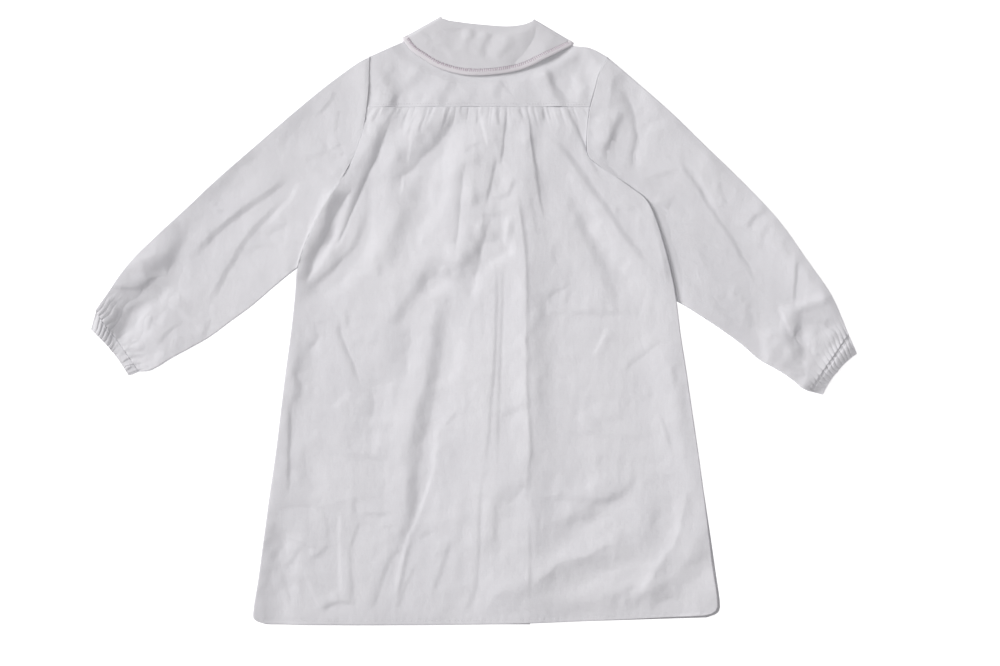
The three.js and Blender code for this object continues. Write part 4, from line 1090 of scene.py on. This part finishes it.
def around_tube(upper_columns, under_columns):
    """Shares and angles round a flat tube: its upper face, one folded edge, its under face, the other edge.

    The share runs from the upper edge of the sleeve to its lower one. The angle is 90 on the upper
    face, -90 on the under face and between them round a folded edge.
    """
    upper = np.linspace(0, 1, upper_columns)
    under = np.linspace(1, 0, under_columns)
    turn = np.linspace(90, -90, EDGE_STEPS + 2)[1:-1]
    share = np.concatenate([upper, np.ones(EDGE_STEPS), under, np.zeros(EDGE_STEPS)])
    angle = np.concatenate([np.full(upper_columns, 90), turn, np.full(under_columns, -90), turn[::-1]])
    return share, angle


def tube_points(lines, share, angle, radius):
    """x and y on a flat tube's outer face, where lines holds the two edges of each section.

    The share goes straight from one edge to the other, a radius in from both, and each folded edge
    swings out over that radius like a cosine of the angle.
    """
    start, end = lines[:, None, :2], lines[:, None, 2:4]
    length = np.linalg.norm(end - start, axis=-1, keepdims=True)
    direction = (end - start) / length
    inset = radius / length
    t = inset + (1 - 2 * inset) * share[None, :, None]
    flat = start + (end - start) * t
    swing = np.cos(np.radians(angle)) * np.where(share > 0.5, 1, -1)
    return flat + direction * radius * swing[None, :, None]


def sleeve_height(x, y, share, along, loft, side, width):
    """Height of a sleeve's upper face over its under face: loft, higher along both folded edges.

    Gathers rise towards the cuff, the root of a cosine across the sleeve, and puckers towards the
    armhole, a fine sine. Both die away from there like an exponential.
    """
    edge = np.minimum(share, 1 - share) * width
    upper_rise = 0.2 if side == "left" else 2.4
    rim = SIDE_RISE * np.where(share < 0.5, upper_rise, 1) * (1 - fade(edge, 0, 0.45 * width))
    rim = rim * fade(1 - along, 0, 0.1) * fade(along, 0, 0.15)
    table = LEFT_SLEEVE_BANDS if side == "left" else RIGHT_SLEEVE_BANDS
    seed = 51 if side == "left" else 61
    relief = creases(x, y, FOLDS, YOKE_BANDS[:1], table) + 0.6 * ripple(x, y, 40, seed)
    relief += crumple(x, y, seed + 5)
    near_cuff = np.exp(-(1 - along) * SLEEVE_LENGTH / (22 if side == "left" else 10))
    gathers = np.sqrt(np.abs(np.cos(share * math.pi * RUFFLES + 1.6 * ripple(x, y, 16, seed + 3))))
    gathers = (1.9 * gathers - 1.2) * near_cuff
    near_seam = np.exp(-along * SLEEVE_LENGTH / 7)
    puckers = 0.22 * np.sin(share * 170 + 2 * ripple(x, y, 20, seed + 4)) * near_seam
    fuller = 4.4 * fade(along, 0.5, 0.8)
    return LAYER + WALL + above_zero(loft + fuller - 0.5 + relief + gathers + rim) + puckers


def make_sleeve(side):
    """A long set-in sleeve: a flat tube from the armhole's curve to the cuff.

    It starts on that curve and turns into straight sections over its first 0.4. Beside the armhole's
    seam it stands higher, by an exponential that falls away along the sleeve.
    """
    table = SLEEVE_LEFT if side == "left" else SLEEVE_RIGHT
    rows, ratio = 216, 4
    share, angle = around_tube(178, 48)
    along = np.linspace(0, 1, rows + 1)
    sections = along_rows(table, along * (len(table) - 1))
    radius = FOLD_RADIUS * fade(along, 0, 0.02)[:, None, None]
    flat = tube_points(sections, share, angle, radius)
    fading = (1 - np.clip(along / 0.4, 0, 1)) ** 2
    flat = flat + fading[:, None, None] * armhole_bow(side, share)[None]
    x, y = flat[..., 0], flat[..., 1]
    width = np.linalg.norm(sections[:, 2:4] - sections[:, :2], axis=1)[:, None]
    shares, alongs = np.broadcast_to(share, x.shape), np.broadcast_to(along[:, None], x.shape)
    loft = sections[:, 4:5]
    low = front_floor(x, y)
    upper = sleeve_height(x, y, shares, alongs, loft, side, width)
    if side == "left":
        seam_rise = (1.2 + 2.4 * fade(shares, 0.3, 0.7)) * np.exp(-alongs * SLEEVE_LENGTH / 34)
    else:
        seam_rise = 2.3 * np.exp(-alongs * SLEEVE_LENGTH / 40) * (1 - fade(shares, 0.4, 0.6))
        dip = np.exp(-alongs * SLEEVE_LENGTH / 9) * fade(shares, 0.45, 0.6)
        seam_rise -= dip * (1 - fade(shares, 0.97, 1))
    level = (np.sin(np.radians(angle)) + 1) / 2
    z = low + (upper + seam_rise) * level[None]
    outer = np.stack([x, y, z], -1)
    uv = np.stack([shares * width + (angle < 0) * 300, alongs * SLEEVE_LENGTH], -1)
    name = "sleeve_" + side + "_cloth"
    return make_sheet(name, outer, shrunk(outer, ratio), uv, WHITE_COTTON, ratio, tube_faces)


def shrunk(outer, ratio):
    """The inner face of a tube: every few points of the outer one, moved in towards each section's middle."""
    points = outer[::ratio, ::ratio]
    centre = points.mean(axis=1, keepdims=True)
    offset = points - centre
    reach = np.linalg.norm(offset[..., :2], axis=-1, keepdims=True)
    flat = offset[..., :2] * (1 - TUBE_WALL / np.maximum(reach, 2))
    z = points[..., 2:3]
    middle = (z.max(axis=1, keepdims=True) + z.min(axis=1, keepdims=True)) / 2
    inward = np.clip((z - middle) / 1.5, -1, 1) * TUBE_WALL
    return np.concatenate([centre[..., :2] + flat, z - inward], -1)


def make_cuff(side):
    """An elastic cuff: a short casing with ruffles across it, the root of a cosine of wandering phase.

    Its open end bows inwards like a parabola, and a stitch line is pressed in near its seam.
    """
    table = SLEEVE_LEFT if side == "left" else SLEEVE_RIGHT
    end = CUFF_LEFT if side == "left" else CUFF_RIGHT
    seam = np.array(table[-1], float)
    outward = np.array(end[:4]) - seam[:4]
    outward = outward / np.linalg.norm(outward) * SEAM_GAP * 2
    seam[:4] += outward
    rows, ratio = 32, 4
    share, angle = around_tube(198, 88)
    along = np.linspace(0, 1, rows + 1)
    sections = seam + (np.array(end) - seam) * along[:, None]
    flat = tube_points(sections, share, angle, FOLD_RADIUS)
    middle = (sections[-1, :2] + sections[-1, 2:4] - sections[0, :2] - sections[0, 2:4]) / 2
    bow = (2.5 if side == "left" else 4) * 4 * share * (1 - share)
    flat = flat - along[:, None, None] * bow[None, :, None] * middle / np.linalg.norm(middle)
    x, y = flat[..., 0], flat[..., 1]
    shares, alongs = np.broadcast_to(share, x.shape), np.broadcast_to(along[:, None], x.shape)
    width = np.linalg.norm(sections[:, 2:4] - sections[:, :2], axis=1)[:, None]
    edge = np.minimum(shares, 1 - shares) * width
    seed = 71 if side == "left" else 81
    phase = 1.2 * ripple(shares * 60, alongs * 14, 9, seed) + ripple(shares * 60, alongs * 3, 20, seed + 1)
    ruffles = np.sqrt(np.abs(np.cos(shares * math.pi * RUFFLES + phase)))
    ruffles = ruffles * (0.8 + 0.2 * ripple(shares * 60, alongs * 8, 7, seed + 2))
    casing = 0.55 + 0.45 * np.sin(math.pi * np.clip(alongs * 1.1, 0, 1)) ** 0.7
    ruffle_top = 2.0 if side == "left" else 1.5
    height = LAYER + WALL + (0.3 + 0.7 * fade(edge, -2, 9)) * (1.0 + ruffle_top * ruffles * casing)
    stitch_line = -0.5 * np.exp(-((alongs - 0.2) / 0.05) ** 2) * rise(edge, 8)
    level = (np.sin(np.radians(angle)) + 1) / 2
    height = above_zero(height + creases(x, y, FOLDS) + 3.6)
    z = front_floor(x, y) + (height + stitch_line) * level[None]
    outer = np.stack([x, y, z], -1)
    uv = np.stack([shares * width + (angle < 0) * 90, alongs * 20], -1)
    name = "cuff_" + side + "_cloth"
    return make_sheet(name, outer, shrunk(outer, ratio), uv, WHITE_COTTON, ratio, tube_faces)


# Collar

def collar_sections():
    """The collar's sections from the left front end to the right one: neck, rim and turn in degrees.

    The turn goes from 0 in front, where the collar lies face down, to 180 on the back, in equal steps
    over each shoulder.
    """
    front_steps, fold_steps, back_steps = 44, 12, 160

    def part(rows, steps, turns):
        rows = np.array(rows, float)
        if len(rows) == 1:
            rows = np.repeat(rows, 2, axis=0)
        places = np.linspace(0, len(rows) - 1, steps + 1)
        return np.column_stack([along_rows(rows, places), np.linspace(*turns, steps + 1)])

    return np.concatenate([
        part(COLLAR_FRONT_LEFT[::-1], front_steps, (0, 0)),
        part(COLLAR_BACK[:1], fold_steps, (0, 180))[1:-1],
        part(COLLAR_BACK, back_steps, (180, 180)),
        part(COLLAR_BACK[-1:], fold_steps, (180, 0))[1:-1],
        part(COLLAR_FRONT_RIGHT, front_steps, (0, 0)),
    ])


def collar_point(sections, reach, out):
    """A point of each section: reach away from the fold, and out from the middle of the folded stack."""
    neck, rim = sections[:, None, :2], sections[:, None, 2:4]
    turn = np.radians(sections[:, None, 4])
    direction = (rim - neck) / np.linalg.norm(rim - neck, axis=-1, keepdims=True)
    dx, dy = direction[..., 0], direction[..., 1]
    aside = np.sign(dx) * np.sin(turn) * out
    x = neck[..., 0] + dx * reach - aside * dy
    y = neck[..., 1] + dy * reach + aside * dx
    return np.stack([x, y, np.broadcast_to(COLLAR_LEVEL - out * np.cos(turn), x.shape)], -1)


SECTIONS = collar_sections()
SECTION_LENGTH = np.linalg.norm(SECTIONS[:, 2:4] - SECTIONS[:, :2], axis=1)[:, None]
ON_BACK = SECTIONS[:, 4:5] == 180
BACK_SHARE = np.clip(np.cumsum(ON_BACK)[:, None] / ON_BACK.sum(), 0, 1) * ON_BACK
RIM_RUN = np.concatenate([[0], np.cumsum(np.linalg.norm(np.diff(SECTIONS[:, 2:4], axis=0), axis=1))])


def collar_rise(reach):
    """How far the collar's back arches off the layers below, and the dents in it.

    The arch is a power of half a sine along the back, times half a sine from the fold to the rim.
    """
    share = np.clip(reach / SECTION_LENGTH, 0, 1)
    arch = 1.7 * np.sin(math.pi * BACK_SHARE) ** 0.6 * np.sin(math.pi * share**0.9)
    flat = collar_point(SECTIONS, reach, 0 * reach)
    x, y = flat[..., 0], flat[..., 1]
    dents = creases(x, y, COLLAR_BANDS) + 0.3 * ripple(x, y, 22, 91) + 0.6 * crumple(x, y, 121)
    inside = fade(share, 0, 0.2) * np.sin(math.pi * BACK_SHARE) ** 0.4
    return arch + inside * (dents + 0.4)


def corner_rise(reach):
    """How far the collar's rim stands off the layers below, most where the collar turns at its right end.

    It is a bell along the rim near that end over a low half sine, and both fade towards the fold.
    """
    share = np.clip(reach / SECTION_LENGTH, 0, 1)
    corner = 3.2 * np.exp(-((BACK_SHARE - 0.88) / 0.09) ** 2)
    return (corner + 1.6 * np.sin(math.pi * BACK_SHARE) ** 0.5) * fade(share, 0.3, 1) * ON_BACK


def make_collar():
    """The flat collar: its fall, the roll over the neck edge and the inner stand, as one wall.

    The roll is half a circle in section, with one radius for the outer face and one for the inner.
    """
    fall = SECTION_LENGTH - EDGING - SEAM_GAP
    shares = np.linspace(1, 0, 41)
    reach = shares[None] * fall
    lift = collar_rise(reach) + corner_rise(reach)
    outer = [collar_point(SECTIONS, reach, COLLAR_LEVEL + lift)]
    inner = [collar_point(SECTIONS, reach, COLLAR_LEVEL - WALL + lift)]
    angles = np.radians(np.linspace(0, 180, 11)[1:-1])[None]
    for faces, radius in ((outer, WALL + GAP / 2), (inner, GAP / 2)):
        roll = -radius * np.sin(angles) + 0 * SECTION_LENGTH
        faces.append(collar_point(SECTIONS, roll, LAYER + radius * np.cos(angles) + 0 * SECTION_LENGTH))
    stand = np.linspace(0, 1, 6)[None] * np.minimum(STAND, fall + EDGING - SEAM_GAP)
    outer.append(collar_point(SECTIONS, stand, GAP / 2 + 0 * stand))
    inner.append(collar_point(SECTIONS, stand, GAP / 2 + WALL + 0 * stand))
    outer, inner = np.concatenate(outer, axis=1), np.concatenate(inner, axis=1)
    step = np.linalg.norm(np.diff(outer, axis=1), axis=-1)
    down = np.concatenate([np.zeros((len(outer), 1)), np.cumsum(step, axis=1)], axis=1)
    uv = np.stack([np.broadcast_to(RIM_RUN[:, None], down.shape), down], -1)
    return make_sheet("collar_cloth", outer, inner, uv, COLLAR_COTTON, 1)


def edging_outer(from_rim, crown):
    """Points on the rolled edging, from the collar's joint out to its rim."""
    reach = SECTION_LENGTH - from_rim
    lift = collar_rise(reach) * fade(from_rim, -1, EDGING) + corner_rise(reach)
    return collar_point(SECTIONS, reach, COLLAR_LEVEL + lift + crown)


def edging_crown(across):
    """How far the rolled edging bulges over the collar's back, from its joint at 0 to its rim at 1.

    It is a power of half a sine across the edging, and it turns to nothing over the shoulders.
    """
    on_back = (1 - np.cos(np.radians(SECTIONS[:, 4:5]))) / 2
    return 0.75 * np.sin(math.pi * np.clip(across * 0.98, 0, 1)) ** 0.8 * on_back


def make_edging():
    """The rolled band round the collar: a flat padded profile, higher in its middle.

    Its height wavers along the rim, and a high power rounds the outermost edge downwards.
    """
    across = np.linspace(0, 1, 13)[None] + 0 * SECTION_LENGTH
    from_rim = EDGING * (1 - across)
    wavy = 1 + 0.3 * ripple(RIM_RUN[:, None] + 0 * across, 8 * across, 11, 95)
    crown = wavy * edging_crown(across) - 0.5 * across**12
    outer = edging_outer(from_rim, crown)
    inner = edging_outer(from_rim, crown - WALL * (1 - 0.35 * across**4))
    uv = np.stack([RIM_RUN[:, None] + 0 * across, from_rim], -1)
    return make_sheet("collar_edging_cloth", outer, inner, uv, RIM_COTTON, 1)


# Stitching

def stitch_mesh(starts, ends, up, radius, arch):
    """Small round stitches from start to end points: five rings of six points, thin at both ends.

    Each stitch arches off the cloth like half a sine, and its rings stand across its own direction.
    """
    size = np.array([0.35, 0.9, 1, 0.9, 0.35])
    rings, sides = len(size), 6
    along = np.linspace(0, 1, rings)
    direction = ends - starts
    side = np.cross(direction, up)
    side /= np.linalg.norm(side, axis=-1, keepdims=True)
    centre = starts[:, None] + direction[:, None] * along[None, :, None]
    centre = centre + up[:, None] * (arch * np.sin(math.pi * along))[None, :, None]
    turn = np.arange(sides) * math.tau / sides
    spoke = side[:, None, None] * np.cos(turn)[None, None, :, None]
    spoke = spoke + up[:, None, None] * np.sin(turn)[None, None, :, None]
    points = centre[:, :, None] + radius * size[None, :, None, None] * spoke
    numbers = np.arange(len(starts) * rings * sides).reshape(-1, rings, sides)
    beside = np.roll(numbers, -1, axis=2)
    quads = np.stack([numbers[:, :-1], beside[:, :-1], beside[:, 1:], numbers[:, 1:]], -1).reshape(-1, 4)
    caps = np.concatenate([numbers[:, 0, ::-1], numbers[:, -1]])
    return points.reshape(-1, 3), quads, caps


def make_stitches(name, runs, material, radius, arch):
    """One piece from several runs of stitches. A run holds start points, end points and up vectors."""
    starts, ends, ups = (np.concatenate([run[k] for run in runs]) for k in range(3))
    points, quads, caps = stitch_mesh(starts, ends, ups, radius, arch)
    return make_piece(name, points, [quads, caps], points[:, :2], material)


STITCH_SHARE = 0.72  # how much of each pitch a topstitch fills


def dashes(line, pitch, up=(0, 0, 1)):
    """Stitches along a line of points: one every pitch, each filling a share of it."""
    step = np.linalg.norm(np.diff(line, axis=0), axis=1)
    run = np.concatenate([[0], np.cumsum(step)])
    begin = np.arange(0.5 * pitch, run[-1] - pitch, pitch)
    at = lambda s: np.stack([np.interp(s, run, line[:, k]) for k in range(3)], 1)
    return at(begin), at(begin + STITCH_SHARE * pitch), np.tile(np.array(up, float), (len(begin), 1))


def make_white_stitching():
    """Topstitching of the yoke and the hem, and the seams of the front bands beneath."""
    u = np.linspace(0.012, 0.988, 400)
    yoke_line = yoke_top(np.full(u.shape, YOKE_STITCH), u)
    hem_line = panel_top(np.full(u.shape, len(BODY) - 1 - HEM_STITCH / ROW_STEP), u)
    runs = [dashes(lowered(yoke_line, -0.05), 3.0), dashes(lowered(hem_line, -0.05), 3.2)]
    y = np.linspace(215, -318, 300)
    left, right = strip_edges(y)
    for x in (left + 3, right - 3):
        z = front_floor(x, y) - 0.1
        runs.append(dashes(np.stack([x, y, z], 1), 3.2, (0, 0, -1)))
    return make_stitches("white_stitching", runs, WHITE_THREAD, 0.26, 0.12)


def make_ladder():
    """The ladder of lilac stitches over the joint of the collar and its edging, and nearer to the rim.

    They follow the edging's face at 25 distances from the rim, and stay off the floor in front.
    """
    random = np.random.default_rng(5)
    middle, span, steps_aside = EDGING - 1, 2.4, 12
    spots = np.arange(4, RIM_RUN[-1] - 4, 2.35)
    spots = spots + random.uniform(-0.35, 0.35, len(spots))
    slant = random.uniform(-0.6, 0.6, len(spots))
    long = random.uniform(3.2, 4.4, len(spots))

    from_rim = np.linspace(middle - span, middle + span, 2 * steps_aside + 1)[None] + 0 * SECTION_LENGTH
    surface = edging_outer(from_rim, edging_crown(1 - from_rim / EDGING) + 0.15)
    surface[..., 2] = np.maximum(surface[..., 2], 0.5)

    def at(run, column):
        place = np.interp(run, RIM_RUN, np.arange(len(RIM_RUN)))
        low = np.minimum(place.astype(int), len(RIM_RUN) - 2)
        first, second = surface[low, column], surface[low + 1, column]
        return first + (second - first) * (place - low)[:, None]

    half = (long / (2 * span) * steps_aside).astype(int)
    starts, ends = at(spots - slant, steps_aside - half), at(spots + slant, steps_aside + half)
    turn = np.radians(np.interp(spots, RIM_RUN, SECTIONS[:, 4]))
    up = np.stack([0 * turn, 0 * turn, -np.cos(turn)], 1)
    level = np.abs(up[:, 2]) > 0.5
    run = (starts[level], ends[level], up[level])
    return make_stitches("ladder_stitching", [run], LILAC_THREAD, 0.34, 0.2)


# Buttons

BUTTON_RADIUS = 6
BUTTON_TOP = 2.2
DISH = 0.55  # depth of the dished middle
HOLE_REACH = 2  # from the button's middle to each hole


def make_button(index):
    """A four-hole button that faces down: a dished disc with a raised rim and four deep holes.

    The rim is rounded like a quarter circle, and the dish and the holes are smooth steps.
    """
    y = BUTTON_Y[index]
    left, right = strip_edges(y)
    rings, sides = 30, 72
    steps = np.linspace(0, 1, rings + 1)[1:]
    r, turn = np.meshgrid(steps, np.arange(sides) * math.tau / sides, indexing="ij")
    r = r * BUTTON_RADIUS
    disc_x, disc_y = r * np.cos(turn), r * np.sin(turn)
    rounding = 1.1 * (1 - np.sqrt(1 - np.clip((r - 4.9) / 1.1, 0, 1) ** 2))
    dish = DISH * (1 - fade(r, 3.2, 4.3))
    holes = 0
    for angle in (45, 135, 225, 315):
        hole_x = HOLE_REACH * math.cos(math.radians(angle))
        hole_y = HOLE_REACH * math.sin(math.radians(angle))
        holes = holes + (1 - fade(np.hypot(disc_x - hole_x, disc_y - hole_y), 0.55, 0.95))
    face = rounding + dish + 0.4 * holes
    back = BUTTON_TOP - rounding - 0.5 * holes
    centre = [[0, 0, DISH], [0, 0, BUTTON_TOP]]
    low = np.stack([disc_x, disc_y, face], -1).reshape(-1, 3)
    high = np.stack([disc_x, disc_y, back], -1).reshape(-1, 3)
    numbers = np.arange(rings * sides).reshape(rings, sides)
    closed = np.concatenate([numbers, numbers[:, :1]], 1)
    other = closed + rings * sides
    hub, top = 2 * rings * sides, 2 * rings * sides + 1
    fan = lambda ring, point: np.stack([ring[:-1], ring[1:], np.full(sides, point)], 1)
    rim = np.stack([closed[-1][:-1], closed[-1][1:], other[-1][1:], other[-1][:-1]], 1)
    faces = [grid_quads(closed), grid_quads(other)[:, ::-1], rim[:, ::-1]]
    faces += [fan(closed[0], hub), fan(other[0], top)[:, ::-1]]
    points = np.concatenate([low, high, centre]) + [(left + right) / 2, y, 0]
    return make_piece("button_%d_shell" % (index + 1), points, faces, points[:, :2], PEARL)


def make_button_thread():
    """Thread through the buttons and the stitched buttonholes behind them."""
    runs = []
    for y in BUTTON_Y:
        left, right = strip_edges(y)
        x = (left + right) / 2
        for a, b in ((45, 225), (135, 315)):
            around = [math.radians(k) for k in (a, b)]
            ends = [[x + HOLE_REACH * math.cos(k), y + HOLE_REACH * math.sin(k), 0.62] for k in around]
            for aside in (-0.25, 0.25):
                start, end = (np.array([point]) + [aside, aside if a == 135 else -aside, 0] for point in ends)
                runs.append((start, end, np.array([[0, 0, -1.0]])))
        bars = np.arange(y - 8, y + 8, 0.8)
        for side in (-1, 1):
            start = np.stack([np.full(len(bars), x + 0.25 * side), bars, np.full(len(bars), 2.42)], 1)
            end = start + [1.5 * side, 0.1, 0]
            runs.append((start, end, np.tile([0, 0, -1.0], (len(bars), 1))))
    return make_stitches("button_thread", runs, WHITE_THREAD, 0.24, 0.1)


# The object

yoke = make_yoke()
panel = make_back_panel()
fronts = {side: make_front(side) for side in ("left", "right")}
sleeves = {side: make_sleeve(side) for side in ("left", "right")}
cuffs = {side: make_cuff(side) for side in ("left", "right")}
collar = make_collar()
edging = make_edging()
stitching = make_white_stitching()
ladder = make_ladder()
button_thread = make_button_thread()
buttons = [make_button(index) for index in range(len(BUTTON_Y))]

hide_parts("back_yoke")
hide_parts("back_panel")
for side in ("left", "right"):
    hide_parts("front_" + side)
    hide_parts("sleeve_" + side)
    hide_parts("cuff_" + side)
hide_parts("collar")
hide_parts("collar_edging")
for index, button in enumerate(buttons):
    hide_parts("button_%d" % (index + 1))


# Floor, light and camera

def make_floor():
    """A wide pale floor just under the cloth, with a slight glow so that it stays near white."""
    material, tree, shader = start_material("pale_floor")
    place = tree.nodes.new("ShaderNodeTexCoord")
    grain = noise_of(tree, place.outputs["Object"], 40.0)
    tree.links.new(bump_of(tree, grain, 0.0002, 0.1), shader.inputs["Normal"])
    shader.inputs["Base Color"].default_value = (0.9, 0.9, 0.9, 1)
    shader.inputs["Roughness"].default_value = 0.7
    shader.inputs["Emission Color"].default_value = (1, 1, 1, 1)
    shader.inputs["Emission Strength"].default_value = 0.6
    mesh = bpy.data.meshes.new("floor")
    half, level = 4, -0.0006
    corners = [(-half, -half, level), (half, -half, level), (half, half, level), (-half, half, level)]
    mesh.from_pydata(corners, [], [(0, 1, 2, 3)])
    mesh.materials.append(material)
    floor = bpy.data.objects.new("floor", mesh)
    bpy.context.scene.collection.objects.link(floor)


def add_light(name, place, target, size, power, colour):
    """A square area light that looks from its place towards a target."""
    light = bpy.data.lights.new(name, "AREA")
    light.shape = "SQUARE"
    light.size = size
    light.energy = power
    light.color = colour
    lamp = bpy.data.objects.new(name, light)
    lamp.visible_camera = False
    bpy.context.scene.collection.objects.link(lamp)
    direction = np.array(target, float) - np.array(place, float)
    flat = math.hypot(direction[0], direction[1])
    lamp.location = place
    lamp.rotation_euler = (math.atan2(flat, -direction[2]), 0, math.atan2(-direction[0], direction[1]))


make_floor()
add_light("key", (-4.5, 1.9, 3.3), (0, 0, 0), 2.2, 238, (1, 0.975, 0.98))
add_light("top", (0.13, -0.06, 0.95), (0.13, -0.06, 0), 0.9, 3.3, (1, 0.975, 0.98))

world = bpy.data.worlds.new("studio")
world.use_nodes = True
world.node_tree.nodes["Background"].inputs["Color"].default_value = (1, 0.96, 0.99, 1)
world.node_tree.nodes["Background"].inputs["Strength"].default_value = 0.22
bpy.context.scene.world = world

bpy.context.scene.view_settings.view_transform = "Standard"

CLOTH_LEVEL = 0.005  # average height of the cloth, which the camera stands 2.4 m above
camera_data = bpy.data.cameras.new("camera")
camera_data.sensor_width = 36
camera_data.lens = 80
camera = bpy.data.objects.new("camera", camera_data)
camera.location = (0.0286, -0.0124, 2.4 + CLOTH_LEVEL)
bpy.context.scene.collection.objects.link(camera)
bpy.context.scene.camera = camera
